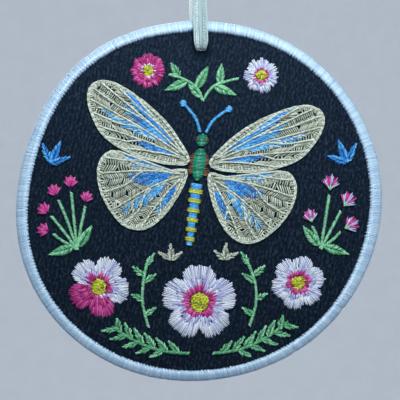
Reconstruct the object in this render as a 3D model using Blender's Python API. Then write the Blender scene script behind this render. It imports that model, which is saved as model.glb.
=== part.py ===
"""A round embroidered hanging: a disc of black twill, a satin-stitched border wrapped round
its rim, a butterfly and flowers raised in thread on its face, and a flat woven cord looped
through a hole near its top.

The disc hangs upright in the XZ plane and its embroidered face looks along -Y. The origin is
the inside top of the cord's loop. Sizes and places are in millimetres, measured in the disc's
own plane as "across" (+X) and "up" (+Z) from its centre, and turned to metres in one place.
"""

import math
from collections import namedtuple

import bmesh
import bpy
from mathutils import Vector
from mathutils.geometry import delaunay_2d_cdt, intersect_point_line

MM = 0.001

# ---------------------------------------------------------------- driving dimensions, in mm
DISC_RADIUS = 55.0          # mean radius over the border
BORDER_WIDTH = 3.0          # mean width of the satin-stitched border
BORDER_CREST = 1.55         # half thickness of the border at its crest
BORDER_WALL = 0.6           # thread thickness round the rim
CLOTH_HALF = 0.7            # half thickness of the twill with its stiff backing
GAP = 0.3                   # clearance between neighbouring pieces
LOOP_TOP = 107.35           # inside top of the hanging loop above the disc's centre

CORD_WIDTH = 4.15           # flat cord, as wide as it shows
CORD_THICK = 1.3
CORD_SQUEEZED = 3.7         # its width inside the hole

HOLE_CENTRE = (1.6, 45.8)
HOLE_HALF_WIDTH = 2.25
HOLE_HALF_HEIGHT = 1.15

STITCH_EDGE = 0.35          # height of a stitched motif along its edge
STITCH_FULL = 0.8           # its height along a vein, midrib or petal
STITCH_LOW = 0.5            # its height between them

RIM_STEPS = 120             # straight stretches in the disc's outline
CENTRE_ABOVE_ORIGIN = -LOOP_TOP

# The rim isn't a true circle: each row adds a wave of so many lobes, so high, turned so far.
Wave = namedtuple("Wave", "lobes height turn_deg")
OUTER_WAVES = (
    Wave(2, 0.66, 28),
    Wave(3, 0.41, -8),
    Wave(4, 0.29, 37),
    Wave(5, 0.15, -13),
    Wave(6, 0.13, 9),
)
INNER_WAVES = (
    Wave(2, 0.62, 37),
    Wave(3, 0.37, -7),
    Wave(4, 0.44, 37),
    Wave(5, 0.17, -14),
    Wave(6, 0.14, 10),
)

# The cord's route: up in front of the border, over the top of the loop, down behind the disc
# and forward through the hole again. In mm from the disc's centre: x, y, z.
CORD_ROUTE = (
    (1.6, 0.0, 45.75),
    (1.6, -1.41, 46.34),
    (1.6, -2.0, 47.75),
    (1.55, -2.3, 50.0),
    (1.4, -2.5, 52.6),
    (1.3, -2.5, 55.0),
    (1.25, -2.45, 58.5),
    (1.2, -2.4, 63.0),
    (1.0, -2.3, 75.0),
    (0.7, -2.4, 89.0),
    (0.35, -2.8, 99.0),
    (0.15, -3.0, 104.5),
    (0.05, -2.15, 107.1),
    (0.0, 0.0, 108.0),
    (0.0, 2.15, 107.1),
    (0.0, 3.0, 104.5),
    (0.02, 2.8, 99.0),
    (0.04, 2.4, 89.0),
    (0.05, 2.3, 75.0),
    (0.05, 2.4, 63.0),
    (0.15, 2.45, 58.5),
    (0.5, 2.5, 55.0),
    (0.9, 2.5, 52.6),
    (1.35, 2.3, 50.0),
    (1.6, 2.0, 47.75),
    (1.6, 1.41, 46.34),
)
CORD_STEPS_PER_POINT = 2

# ---------------------------------------------------------------- the embroidered design, in mm
BUTTERFLY_CENTRE = (0.0, 8.0)
BUTTERFLY_TILT = -7.0       # degrees, counter-clockwise

# Half outlines of the wings, across from the body and up from the butterfly's centre.
FOREWING = (
    (3.5, 5.8), (11.5, 15.0), (21.5, 21.8), (30.0, 25.0), (35.2, 23.4), (36.0, 18.4),
    (33.2, 12.2), (29.0, 7.4), (20.0, 3.4), (10.0, 1.9), (3.6, 2.6),
)
HINDWING = (
    (3.5, 1.2), (10.0, 0.6), (19.5, 1.9), (26.4, 4.4), (30.2, 0.2), (29.4, -7.0),
    (25.6, -13.4), (20.2, -18.2), (14.2, -18.6), (9.2, -14.6), (5.6, -8.6), (3.4, -2.8),
)
WING_VEINS = 5
HEART_STEPS = 14            # straight stretches round a flower's heart

BODY_BANDS = 6
ABDOMEN_TOP = -2.6
ABDOMEN_LENGTH = 17.5

Flower = namedtuple("Flower", "name across up radius petals turn_deg notch heart")
FLOWERS = (
    Flower("large_flower", 0.5, -30.5, 11.4, 5, 90, 0.30, 2.9),
    Flower("pink_flower", -29.9, -25.8, 9.3, 5, 62, 0.32, 2.4),
    Flower("lilac_flower", 30.4, -24.6, 8.2, 6, 75, 0.22, 2.1),
    Flower("top_left_daisy", -15.0, 39.4, 5.2, 8, 90, 0.16, 1.6),
    Flower("top_right_daisy", 19.2, 38.0, 5.3, 7, 80, 0.18, 1.6),
)

Bud = namedtuple("Bud", "name across up radius turn_deg")
BUDS = (
    Bud("bud_left_1", -46.6, -8.6, 2.1, 160),
    Bud("bud_left_2", -46.4, -2.4, 2.1, 130),
    Bud("bud_left_3", -43.4, 3.2, 2.1, 110),
    Bud("bud_left_4", -38.4, 5.8, 2.1, 90),
    Bud("bud_left_5", -33.6, 1.2, 1.9, 75),
    Bud("bud_right_1", 46.4, -7.0, 2.6, 30),
    Bud("bud_right_2", 45.4, 0.4, 2.6, 55),
    Bud("bud_right_3", 40.2, 5.6, 2.6, 80),
    Bud("bud_right_4", 34.0, -4.4, 2.2, 105),
)

# A spray is one stitched piece of stems and leaves. Stem rows list the stem's own points;
# leaf rows say where the leaf springs, which way it points, and its length and width.
Stem = namedtuple("Stem", "spray width points")
STEMS = (
    Stem("spray_left", 1.1, ((-36.4, -14.6), (-41.4, -11.6), (-44.0, -9.6))),
    Stem("spray_left", 1.1, ((-36.4, -14.6), (-41.2, -8.2), (-44.4, -4.3))),
    Stem("spray_left", 1.1, ((-36.4, -14.6), (-39.6, -5.4), (-42.2, 0.6))),
    Stem("spray_left", 1.1, ((-36.4, -14.6), (-37.4, -5.4), (-38.2, 3.0))),
    Stem("spray_left", 1.1, ((-36.4, -14.6), (-35.2, -7.4), (-33.9, -1.3))),
    Stem("spray_right", 1.1, ((37.2, -14.4), (40.8, -11.6), (43.2, -9.2))),
    Stem("spray_right", 1.1, ((37.2, -14.4), (40.6, -8.0), (43.4, -2.6))),
    Stem("spray_right", 1.1, ((37.2, -14.4), (38.6, -5.6), (39.8, 2.2))),
    Stem("spray_right", 1.1, ((37.2, -14.4), (35.9, -10.2), (34.6, -7.4))),
    Stem("spray_top", 1.1, ((1.6, 30.4), (-0.6, 34.6), (-5.0, 37.2), (-9.0, 38.4))),
    Stem("spray_top", 1.1, ((1.6, 30.4), (4.6, 34.6), (9.4, 36.4), (12.8, 37.0))),
    Stem("fern_left", 1.2, ((-2.6, -46.0), (-11.0, -45.2), (-19.0, -42.2), (-26.4, -37.6))),
    Stem("fern_right", 1.2, ((4.4, -46.0), (12.6, -44.8), (20.4, -41.4), (27.4, -36.4))),
    Stem("leaves_left", 1.1, ((-14.8, -38.2), (-16.6, -31.0), (-16.4, -24.0), (-15.0, -17.6))),
    Stem("leaves_right", 1.1, ((15.6, -37.8), (17.6, -31.0), (17.2, -24.0), (14.6, -17.4))),
)

Leaf = namedtuple("Leaf", "spray across up point_deg length width")
LEAVES = (
    Leaf("spray_left", -37.4, -13.8, 197, 8.0, 3.0),
    Leaf("spray_left", -36.0, -13.8, 58, 7.6, 2.8),
    Leaf("spray_right", 38.2, -13.6, -18, 7.8, 3.0),
    Leaf("spray_right", 36.4, -13.4, 128, 7.4, 2.8),
    Leaf("spray_top", -0.4, 34.0, 62, 7.6, 2.9),
    Leaf("spray_top", -3.2, 36.2, 202, 7.2, 2.8),
    Leaf("spray_top", -5.4, 37.4, 122, 5.2, 2.3),
    Leaf("spray_top", 4.8, 34.8, 338, 7.2, 2.8),
    Leaf("spray_top", 6.6, 35.4, 84, 6.2, 2.5),
    Leaf("spray_top", 1.2, 31.4, 136, 5.8, 2.4),
    Leaf("fern_left", -5.6, -46.0, 132, 5.0, 1.9),
    Leaf("fern_left", -9.2, -45.6, 128, 5.6, 1.9),
    Leaf("fern_left", -12.8, -44.8, 124, 6.0, 1.9),
    Leaf("fern_left", -16.4, -43.6, 118, 6.0, 1.9),
    Leaf("fern_left", -20.0, -41.8, 112, 5.4, 1.9),
    Leaf("fern_left", -23.4, -39.8, 104, 4.6, 1.9),
    Leaf("fern_left", -10.6, -45.4, 204, 4.4, 1.8),
    Leaf("fern_left", -14.4, -44.4, 200, 4.6, 1.8),
    Leaf("fern_left", -18.2, -42.8, 196, 4.8, 1.8),
    Leaf("fern_left", -21.8, -40.9, 190, 4.8, 1.8),
    Leaf("fern_left", -24.8, -38.8, 186, 4.4, 1.8),
    Leaf("fern_right", 7.0, -45.9, 48, 5.0, 1.9),
    Leaf("fern_right", 10.6, -45.3, 52, 5.6, 1.9),
    Leaf("fern_right", 14.2, -44.3, 56, 6.0, 1.9),
    Leaf("fern_right", 17.8, -42.9, 62, 6.0, 1.9),
    Leaf("fern_right", 21.2, -41.0, 68, 5.4, 1.9),
    Leaf("fern_right", 24.6, -38.8, 76, 4.6, 1.9),
    Leaf("fern_right", 12.2, -44.9, -26, 4.4, 1.8),
    Leaf("fern_right", 16.0, -43.7, -20, 4.6, 1.8),
    Leaf("fern_right", 19.6, -41.9, -16, 4.8, 1.8),
    Leaf("fern_right", 23.2, -39.8, -10, 4.8, 1.8),
    Leaf("fern_right", 26.0, -37.6, -6, 4.4, 1.8),
    Leaf("leaves_left", -15.8, -34.4, 36, 3.9, 1.8),
    Leaf("leaves_left", -16.5, -30.0, 152, 4.0, 1.8),
    Leaf("leaves_left", -16.4, -24.6, 34, 4.6, 1.9),
    Leaf("leaves_left", -16.3, -22.6, 140, 4.4, 1.9),
    Leaf("leaves_left", -15.4, -19.4, 58, 4.4, 1.9),
    Leaf("leaves_right", 16.6, -34.4, 144, 3.9, 1.8),
    Leaf("leaves_right", 17.5, -29.6, 26, 4.0, 1.8),
    Leaf("leaves_right", 17.2, -24.4, 146, 4.6, 1.9),
    Leaf("leaves_right", 17.0, -22.4, 42, 4.4, 1.9),
    Leaf("leaves_right", 15.4, -19.0, 122, 4.4, 1.9),
    Leaf("ecru_sprig_left", -8.0, -17.8, 92, 5.0, 1.9),
    Leaf("ecru_sprig_left", -8.0, -17.8, 148, 4.6, 1.8),
    Leaf("ecru_sprig_left", -8.0, -17.8, 38, 4.2, 1.8),
    Leaf("ecru_sprig_right", 8.2, -17.6, 84, 5.0, 1.9),
    Leaf("ecru_sprig_right", 8.2, -17.6, 28, 4.6, 1.8),
    Leaf("ecru_sprig_right", 8.2, -17.6, 140, 4.2, 1.8),
    Leaf("blue_sprig_left", -44.4, 11.4, 66, 7.4, 2.4),
    Leaf("blue_sprig_left", -44.4, 11.4, 112, 6.6, 2.2),
    Leaf("blue_sprig_left", -44.4, 11.4, 18, 6.2, 2.2),
    Leaf("blue_sprig_right", 45.0, 11.6, 110, 7.4, 2.4),
    Leaf("blue_sprig_right", 45.0, 11.6, 64, 6.6, 2.2),
    Leaf("blue_sprig_right", 45.0, 11.6, 160, 6.2, 2.2),
)

# ---------------------------------------------------------------- materials
BLACK_TWILL = ("black_twill", (0.008, 0.012, 0.020), 0.9)
WHITE_THREAD = ("pale_blue_white_thread", (0.50, 0.66, 0.78), 0.45)
CREAM_CORD = ("pale_cream_cord", (0.46, 0.62, 0.62), 0.7)
ECRU_THREAD = ("ecru_thread", (0.34, 0.36, 0.28), 0.5)
TEAL_THREAD = ("teal_thread", (0.02, 0.29, 0.20), 0.45)
BLUE_THREAD = ("blue_thread", (0.05, 0.28, 0.70), 0.45)
GREEN_THREAD = ("green_thread", (0.10, 0.42, 0.22), 0.45)
PINK_THREAD = ("pink_thread", (0.48, 0.06, 0.28), 0.45)
LILAC_THREAD = ("lilac_thread", (0.56, 0.56, 0.76), 0.45)
YELLOW_THREAD = ("yellow_thread", (0.52, 0.55, 0.03), 0.45)

SPRAY_THREADS = {
    "ecru_sprig_left": ECRU_THREAD,
    "ecru_sprig_right": ECRU_THREAD,
    "blue_sprig_left": BLUE_THREAD,
    "blue_sprig_right": BLUE_THREAD,
}
PETAL_THREADS = {
    "large_flower": LILAC_THREAD,
    "lilac_flower": LILAC_THREAD,
}


# ---------------------------------------------------------------- small helpers
def clear_scene():
    """Remove the objects that a new file starts with."""
    for old in list(bpy.data.objects):
        bpy.data.objects.remove(old, do_unlink=True)


def make_material(look):
    """One Principled material from a (name, colour, roughness) row."""
    name, colour, roughness = look
    material = bpy.data.materials.new(name)
    material.use_nodes = True
    shader = material.node_tree.nodes["Principled BSDF"]
    shader.inputs["Base Color"].default_value = (*colour, 1.0)
    shader.inputs["Roughness"].default_value = roughness
    shader.inputs["Metallic"].default_value = 0.0
    return material


def place(across, up, depth):
    """A point of the disc, in mm, as world metres. Depth is along +Y, behind the cloth."""
    return Vector((across * MM, depth * MM, (up + CENTRE_ABOVE_ORIGIN) * MM))


def add_object(name, shape, look):
    """Turn a bmesh into a named object with its own material and smooth shading."""
    bmesh.ops.recalc_face_normals(shape, faces=shape.faces)
    mesh = bpy.data.meshes.new(name)
    shape.to_mesh(mesh)
    shape.free()
    mesh.shade_smooth()
    mesh.set_sharp_from_angle(angle=math.radians(40))
    piece = bpy.data.objects.new(name, mesh)
    bpy.context.scene.collection.objects.link(piece)
    mesh.materials.append(make_material(look))
    return piece


def turned(across, up, degrees):
    """A 2-D point turned counter-clockwise about the origin."""
    angle = math.radians(degrees)
    return (
        across * math.cos(angle) - up * math.sin(angle),
        across * math.sin(angle) + up * math.cos(angle),
    )


def spline_point(before, start, end, after, share):
    """A point on the smooth curve through four neighbours, between start and end."""
    square = share * share
    cube = square * share
    return tuple(
        0.5 * (2 * b + (c - a) * share + (2 * a - 5 * b + 4 * c - d) * square
               + (3 * b - a - 3 * c + d) * cube)
        for a, b, c, d in zip(before, start, end, after)
    )


def smooth_closed(points, steps):
    """The smooth closed curve through the points, with so many steps between each two."""
    count = len(points)
    curve = []
    for index in range(count):
        four = [points[(index + shift) % count] for shift in (-1, 0, 1, 2)]
        curve += [spline_point(*four, step / steps) for step in range(steps)]
    return curve


def smooth_open(points, steps):
    """The smooth curve from the first point to the last."""
    padded = [points[0], *points, points[-1]]
    curve = []
    for index in range(len(points) - 1):
        four = padded[index:index + 4]
        curve += [spline_point(*four, step / steps) for step in range(steps)]
    return [*curve, points[-1]]


def rim_radius(mean, waves, angle):
    """The radius of an uneven circle in one direction."""
    return mean + sum(w.height * math.cos(w.lobes * (angle - math.radians(w.turn_deg))) for w in waves)


def outer_radius(angle):
    return rim_radius(DISC_RADIUS, OUTER_WAVES, angle)


def inner_radius(angle):
    return rim_radius(DISC_RADIUS - BORDER_WIDTH, INNER_WAVES, angle)


# ---------------------------------------------------------------- cloth, border and cord
def loft_rings(rings, closed):
    """A body through rings of points: joined end to end if closed, otherwise capped."""
    shape = bmesh.new()
    loops = [[shape.verts.new(point) for point in ring] for ring in rings]
    count = len(loops[0])
    pairs = list(zip(loops, loops[1:]))
    if closed:
        pairs.append((loops[-1], loops[0]))
    for one, two in pairs:
        for index in range(count):
            following = (index + 1) % count
            shape.faces.new((one[index], one[following], two[following], two[index]))
    if not closed:
        shape.faces.new(loops[0])
        shape.faces.new(reversed(loops[-1]))
    return shape


def make_ground_cloth():
    """The twill disc, cut to the uneven rim, with the slot that the cord goes through."""
    rings = []
    for depth in (-CLOTH_HALF, CLOTH_HALF):
        ring = []
        for step in range(RIM_STEPS):
            angle = 2 * math.pi * step / RIM_STEPS
            radius = outer_radius(angle) - BORDER_WALL - GAP
            ring.append(place(radius * math.cos(angle), radius * math.sin(angle), depth))
        rings.append(ring)
    cloth = add_object("ground_cloth", loft_rings(rings, closed=False), BLACK_TWILL)

    slot_rings = []
    for depth in (-2 * CLOTH_HALF, 2 * CLOTH_HALF):
        ring = []
        for step in range(20):
            angle = 2 * math.pi * step / 20
            square = 1 / (abs(math.cos(angle)) ** 4 + abs(math.sin(angle)) ** 4) ** 0.25
            ring.append(place(HOLE_CENTRE[0] + HOLE_HALF_WIDTH * square * math.cos(angle),
                              HOLE_CENTRE[1] + HOLE_HALF_HEIGHT * square * math.sin(angle), depth))
        slot_rings.append(ring)
    cutter = add_object("slot_cutter", loft_rings(slot_rings, closed=False), BLACK_TWILL)
    cutter.hide_render = True
    cutter.display_type = "WIRE"
    cut = cloth.modifiers.new("slot", "BOOLEAN")
    cut.operation = "DIFFERENCE"
    cut.solver = "EXACT"
    cut.object = cutter


def make_stitched_border():
    """The dense satin stitching that wraps the rim, front and back, as one C-shaped ring."""
    # Share of the border's width from its inner edge, and depth in front of the middle plane.
    front = ((0.0, -CLOTH_HALF - GAP), (0.05, -1.3), (0.34, -BORDER_CREST), (0.68, -1.45), (0.92, -0.9))
    back = tuple((share, -depth) for share, depth in reversed(front))
    rings = []
    for step in range(RIM_STEPS):
        angle = 2 * math.pi * step / RIM_STEPS
        inner = inner_radius(angle)
        outer = outer_radius(angle)
        section = [(inner + (outer - inner) * share, depth) for share, depth in front]
        section += [(outer, 0.0)]
        section += [(inner + (outer - inner) * share, depth) for share, depth in back]
        section += [(outer - BORDER_WALL, CLOTH_HALF + GAP), (outer - BORDER_WALL, -CLOTH_HALF - GAP)]
        rings.append([place(r * math.cos(angle), r * math.sin(angle), depth) for r, depth in section])
    add_object("stitched_border", loft_rings(rings, closed=True), WHITE_THREAD)


def make_hanging_cord():
    """A flat cord in one closed loop, its width kept across the disc all the way round."""
    route = smooth_closed(CORD_ROUTE, CORD_STEPS_PER_POINT)
    rings = []
    for index, point in enumerate(route):
        here = place(point[0], point[2], point[1])
        before = route[index - 1]
        after = route[(index + 1) % len(route)]
        along = (place(after[0], after[2], after[1]) - place(before[0], before[2], before[1])).normalized()
        sideways = (Vector((1, 0, 0)) - along * along.x).normalized()
        outward = along.cross(sideways)
        from_hole = min(1.0, max(0.0, (point[2] - HOLE_CENTRE[1] - 1.0) / 4.0))
        half_width = (CORD_SQUEEZED + (CORD_WIDTH - CORD_SQUEEZED) * from_hole) / 2
        half_thick = CORD_THICK / 2
        # A flat section with rounded edges, as shares of its half width and half thickness.
        section = ((1, -0.45), (1, 0.45), (0.86, 1), (-0.86, 1), (-1, 0.45), (-1, -0.45),
                   (-0.86, -1), (0.86, -1))
        rings.append([here + (sideways * half_width * s + outward * half_thick * t) * MM
                      for s, t in section])
    add_object("hanging_cord", loft_rings(rings, closed=True), CREAM_CORD)


# ---------------------------------------------------------------- stitched motifs
def distance_to_edge(point, edge_lines):
    """How far a 2-D point lies from the nearest stretch of outline."""
    nearest = math.inf
    for start, end in edge_lines:
        foot, share = intersect_point_line(point, start, end)
        foot = start if share < 0 else end if share > 1 else foot
        nearest = min(nearest, (point - foot.to_2d()).length)
    return nearest


def add_motif(name, outlines, look, ridges=(), hole=None, base=CLOTH_HALF + GAP):
    """A low raised patch over the union of its outlines, highest along its ridges.

    The outlines may overlap, as a leaf overlaps its stem. Ridges are lines of (across, up,
    height) points inside them. A hole is a circle, (across, up, radius), left open.
    """
    points = []
    heights = []
    faces = []
    edges = []
    for outline in outlines:
        first = len(points)
        points += [Vector(point) for point in outline]
        heights += [STITCH_EDGE] * len(outline)
        faces.append(list(range(first, len(points))))
    for ridge in ridges:
        first = len(points)
        points += [Vector(point[:2]) for point in ridge]
        heights += [point[2] for point in ridge]
        edges += [(index, index + 1) for index in range(first, len(points) - 1)]
    flat, _, triangles, origins, _, _ = delaunay_2d_cdt(points, edges, faces, 1, 1e-4)
    if hole:
        centre = Vector(hole[:2])
        triangles = [t for t in triangles if (sum((flat[i] for i in t), Vector((0, 0))) / 3
                                              - centre).length > hole[2]]
    sides = {}
    for triangle in triangles:
        for start, end in zip(triangle, triangle[1:] + triangle[:1]):
            key = (min(start, end), max(start, end))
            sides.setdefault(key, []).append((start, end))
    rim = [found[0] for found in sides.values() if len(found) == 1]
    rim_points = {index for side in rim for index in side}
    rim_lines = [(flat[start], flat[end]) for start, end in rim]

    shape = bmesh.new()
    top = {}
    bottom = {}
    for index in sorted({index for triangle in triangles for index in triangle}):
        point = flat[index]
        if index in rim_points:
            height = STITCH_EDGE
        elif max((heights[origin] for origin in origins[index]), default=0) > STITCH_EDGE:
            height = max(heights[origin] for origin in origins[index])
        else:
            rise = min(1.0, distance_to_edge(point, rim_lines) / 1.2)
            height = STITCH_EDGE + (STITCH_LOW - STITCH_EDGE) * rise
        top[index] = shape.verts.new(place(point.x, point.y, -base - height))
        bottom[index] = shape.verts.new(place(point.x, point.y, -base))
    for triangle in triangles:
        shape.faces.new([top[index] for index in triangle])
        shape.faces.new([bottom[index] for index in reversed(triangle)])
    for start, end in rim:
        shape.faces.new((top[end], top[start], bottom[start], bottom[end]))
    return add_object(name, shape, look)


def on_butterfly(across, up):
    """A point of the butterfly, from its own centre and upright, as a point of the disc."""
    x, y = turned(across, up, BUTTERFLY_TILT)
    return (BUTTERFLY_CENTRE[0] + x, BUTTERFLY_CENTRE[1] + y)


def make_wing(name, table, side, root, first_vein, last_vein):
    """One wing: a smooth outline with veins fanned from its root to its outer edge."""
    outline = smooth_closed(table, 3)
    ridges = []
    lines = 2 * WING_VEINS - 1
    for line in range(lines):
        # Every second line is a hollow between two veins.
        vein = line % 2 == 0
        position = (first_vein + (last_vein - first_vein) * line / (lines - 1)) * len(outline)
        before = outline[int(position) % len(outline)]
        after = outline[(int(position) + 1) % len(outline)]
        tip = [a + (b - a) * (position % 1) for a, b in zip(before, after)]
        ridge = []
        for step in (0.14, 0.4, 0.66, 0.9) if vein else (0.3, 0.55, 0.85):
            across = root[0] + (tip[0] - root[0]) * step
            up = root[1] + (tip[1] - root[1]) * step
            ridge.append((*on_butterfly(side * across, up), STITCH_FULL if vein else STITCH_LOW))
        ridges.append(ridge)
    placed = [on_butterfly(side * across, up) for across, up in outline]
    if side < 0:
        placed.reverse()
    add_motif(name, [placed], ECRU_THREAD, ridges)


def oval(across, up, half_across, half_up, steps, turn_deg=0.0):
    """The points of an ellipse, turned about its own centre."""
    points = []
    for step in range(steps):
        angle = 2 * math.pi * step / steps
        x, y = turned(half_across * math.cos(angle), half_up * math.sin(angle), turn_deg)
        points.append((across + x, up + y))
    return points


def strip(points, width):
    """The outline of a stem of even width along a line of points."""
    left = []
    right = []
    for index, point in enumerate(points):
        before = points[max(index - 1, 0)]
        after = points[min(index + 1, len(points) - 1)]
        along = Vector((after[0] - before[0], after[1] - before[1])).normalized()
        aside = Vector((-along.y, along.x)) * width / 2
        left.append((point[0] - aside.x, point[1] - aside.y))
        right.append((point[0] + aside.x, point[1] + aside.y))
    return left + right[::-1]


def make_butterfly():
    """Four wings, a head, a thorax, a banded abdomen and two feelers, each its own patch."""
    for side, hand in ((1, "right"), (-1, "left")):
        make_wing(f"forewing_{hand}", FOREWING, side, (3.6, 4.2), 0.20, 0.68)
        make_wing(f"hindwing_{hand}", HINDWING, side, (3.8, -0.6), 0.24, 0.78)
        feeler = smooth_open([(0.9 * side, 12.9), (2.8 * side, 17.0), (6.6 * side, 20.6)], 3)
        line = strip([on_butterfly(*point) for point in feeler], 0.9)
        knob = oval(*on_butterfly(7.0 * side, 20.9), 0.95, 0.95, 8)
        add_motif(f"feeler_{hand}", [line, knob], BLUE_THREAD)

    turn = BUTTERFLY_TILT
    spine = [(*on_butterfly(0, up), STITCH_FULL) for up in (6.0, 3.0, 0.0)]
    add_motif("thorax", [oval(*on_butterfly(0, 3.1), 2.45, 5.0, 18, turn)], TEAL_THREAD, [spine])
    crown = [(*on_butterfly(0, up), STITCH_FULL) for up in (11.1, 9.9)]
    add_motif("head", [oval(*on_butterfly(0, 10.5), 1.95, 1.85, 12, turn)], TEAL_THREAD, [crown])

    right_side = []
    spine = []
    pitch = ABDOMEN_LENGTH / BODY_BANDS
    for band in range(BODY_BANDS):
        up = ABDOMEN_TOP - band * pitch
        half = 1.75 - 0.85 * band / BODY_BANDS
        # A blue stretch and then a wider yellow bar, down to the tail.
        right_side += [(half, up), (half, up - pitch * 0.62)]
        right_side += [(half + 0.4, up - pitch * 0.64), (half + 0.4, up - pitch * 0.98)]
        spine += [(0, up - pitch * 0.3, STITCH_LOW + 0.1), (0, up - pitch * 0.8, STITCH_FULL)]
    right_side.append((0.5, ABDOMEN_TOP - ABDOMEN_LENGTH - 1.2))
    outline = right_side[::-1] + [(-across, up) for across, up in right_side]
    placed = [on_butterfly(*point) for point in outline]
    spine = [(*on_butterfly(across, up), height) for across, up, height in spine]
    add_motif("abdomen", [placed[::-1]], BLUE_THREAD, [spine])


def petal_outline(flower, per_petal):
    """The scalloped outline of a flower: full at each petal's middle, drawn in between."""
    points = []
    steps = flower.petals * per_petal
    for step in range(steps):
        angle = 2 * math.pi * step / steps + math.radians(flower.turn_deg)
        phase = step / per_petal - math.floor(step / per_petal + 0.5)
        drawn_in = (2 * abs(phase)) ** 3
        radius = flower.radius * (1 - flower.notch * drawn_in)
        points.append((flower.across + radius * math.cos(angle), flower.up + radius * math.sin(angle)))
    return points


def make_flowers():
    """Each flower is a ring of petals round a separate knot of yellow stitches."""
    for flower in FLOWERS:
        per_petal = 6 if flower.petals < 7 else 4
        opening_radius = (flower.heart + GAP) / math.cos(math.pi / HEART_STEPS)
        opening = oval(flower.across, flower.up, opening_radius, opening_radius, HEART_STEPS)
        ridges = [[(*point, STITCH_FULL) for point in (*opening, opening[0])]]
        for petal in range(flower.petals):
            angle = math.radians(flower.turn_deg) + 2 * math.pi * petal / flower.petals
            ridges.append([
                (flower.across + reach * math.cos(angle), flower.up + reach * math.sin(angle), STITCH_FULL)
                for reach in (flower.radius * 0.55, flower.radius * 0.82)
            ])
        look = PETAL_THREADS.get(flower.name, PINK_THREAD)
        add_motif(f"{flower.name}_petals", [petal_outline(flower, per_petal)], look, ridges,
                  hole=(flower.across, flower.up, flower.heart + GAP))
        knot = oval(flower.across, flower.up, flower.heart, flower.heart, HEART_STEPS)
        top = [[(flower.across - 0.4, flower.up, STITCH_FULL), (flower.across + 0.4, flower.up, STITCH_FULL)]]
        add_motif(f"{flower.name}_heart", [knot], YELLOW_THREAD, top)


def make_buds():
    """Small tufts at the stems' ends, a little longer than wide, with a ragged top."""
    for bud in BUDS:
        outline = []
        for step in range(14):
            angle = 2 * math.pi * step / 14
            ragged = 1.0 + (0.16 if step % 2 else -0.08) * (math.cos(angle) > -0.3)
            x, y = turned(bud.radius * ragged * math.cos(angle), bud.radius * 0.82 * ragged * math.sin(angle),
                          bud.turn_deg)
            outline.append((bud.across + x, bud.up + y))
        tip = turned(bud.radius * 0.4, 0, bud.turn_deg)
        ridge = [(bud.across - tip[0], bud.up - tip[1], STITCH_FULL),
                 (bud.across + tip[0], bud.up + tip[1], STITCH_FULL)]
        add_motif(bud.name, [outline], PINK_THREAD, [ridge])


def leaf_outline(leaf):
    """A pointed oval leaf, widest below its middle."""
    side = [(0.0, 0.18), (0.2, 0.8), (0.42, 1.0), (0.68, 0.72), (0.88, 0.3)]
    half = leaf.width / 2
    below = [(share * leaf.length, -swell * half) for share, swell in side]
    above = [(share * leaf.length, swell * half) for share, swell in reversed(side)]
    outline = []
    for along, aside in [*below, (leaf.length, 0.0), *above]:
        x, y = turned(along, aside, leaf.point_deg)
        outline.append((leaf.across + x, leaf.up + y))
    return outline


def make_sprays():
    """Stems and the leaves that spring from them, one patch for each spray."""
    names = []
    for row in (*STEMS, *LEAVES):
        if row.spray not in names:
            names.append(row.spray)
    for name in names:
        outlines = [strip(smooth_open(stem.points, 2), stem.width) for stem in STEMS if stem.spray == name]
        ridges = []
        for leaf in LEAVES:
            if leaf.spray != name:
                continue
            outlines.append(leaf_outline(leaf))
            midrib = [turned(leaf.length * share, 0, leaf.point_deg) for share in (0.3, 0.75)]
            ridges.append([(leaf.across + x, leaf.up + y, STITCH_FULL) for x, y in midrib])
        add_motif(name, outlines, SPRAY_THREADS.get(name, GREEN_THREAD), ridges)


clear_scene()
make_ground_cloth()
make_stitched_border()
make_hanging_cord()
make_butterfly()
make_flowers()
make_buds()
make_sprays()
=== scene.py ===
# %% [markdown]
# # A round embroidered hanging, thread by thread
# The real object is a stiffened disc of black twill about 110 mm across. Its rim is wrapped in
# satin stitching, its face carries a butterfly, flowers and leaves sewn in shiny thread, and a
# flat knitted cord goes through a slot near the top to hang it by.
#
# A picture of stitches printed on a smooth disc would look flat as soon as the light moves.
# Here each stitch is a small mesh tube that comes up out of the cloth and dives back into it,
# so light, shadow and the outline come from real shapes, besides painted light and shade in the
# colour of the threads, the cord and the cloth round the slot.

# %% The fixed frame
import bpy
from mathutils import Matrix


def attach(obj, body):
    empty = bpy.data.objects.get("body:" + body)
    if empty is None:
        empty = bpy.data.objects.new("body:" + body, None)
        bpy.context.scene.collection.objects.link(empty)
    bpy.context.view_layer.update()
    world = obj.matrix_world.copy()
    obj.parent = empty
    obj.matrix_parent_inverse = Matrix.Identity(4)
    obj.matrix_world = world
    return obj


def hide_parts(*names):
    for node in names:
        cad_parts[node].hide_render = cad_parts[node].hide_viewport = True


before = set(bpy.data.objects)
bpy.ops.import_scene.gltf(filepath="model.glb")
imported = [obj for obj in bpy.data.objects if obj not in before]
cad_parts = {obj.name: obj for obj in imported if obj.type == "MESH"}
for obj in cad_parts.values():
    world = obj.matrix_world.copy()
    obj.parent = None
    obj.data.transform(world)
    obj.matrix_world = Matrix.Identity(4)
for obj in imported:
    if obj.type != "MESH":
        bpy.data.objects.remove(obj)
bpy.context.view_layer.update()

# %% [markdown]
# The plain solids are now in their fixed places. Every piece made below takes the place of one
# of them. Besides what comes with Python and Blender, the lesson needs nothing: numpy is among
# Blender's modules, and it handles many points at once.

# %% What the lesson uses
import math
from collections import namedtuple

import bmesh
import bpy
import numpy as np
from mathutils import Vector
from mathutils.geometry import delaunay_2d_cdt

print("Blender", bpy.app.version_string)

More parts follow.
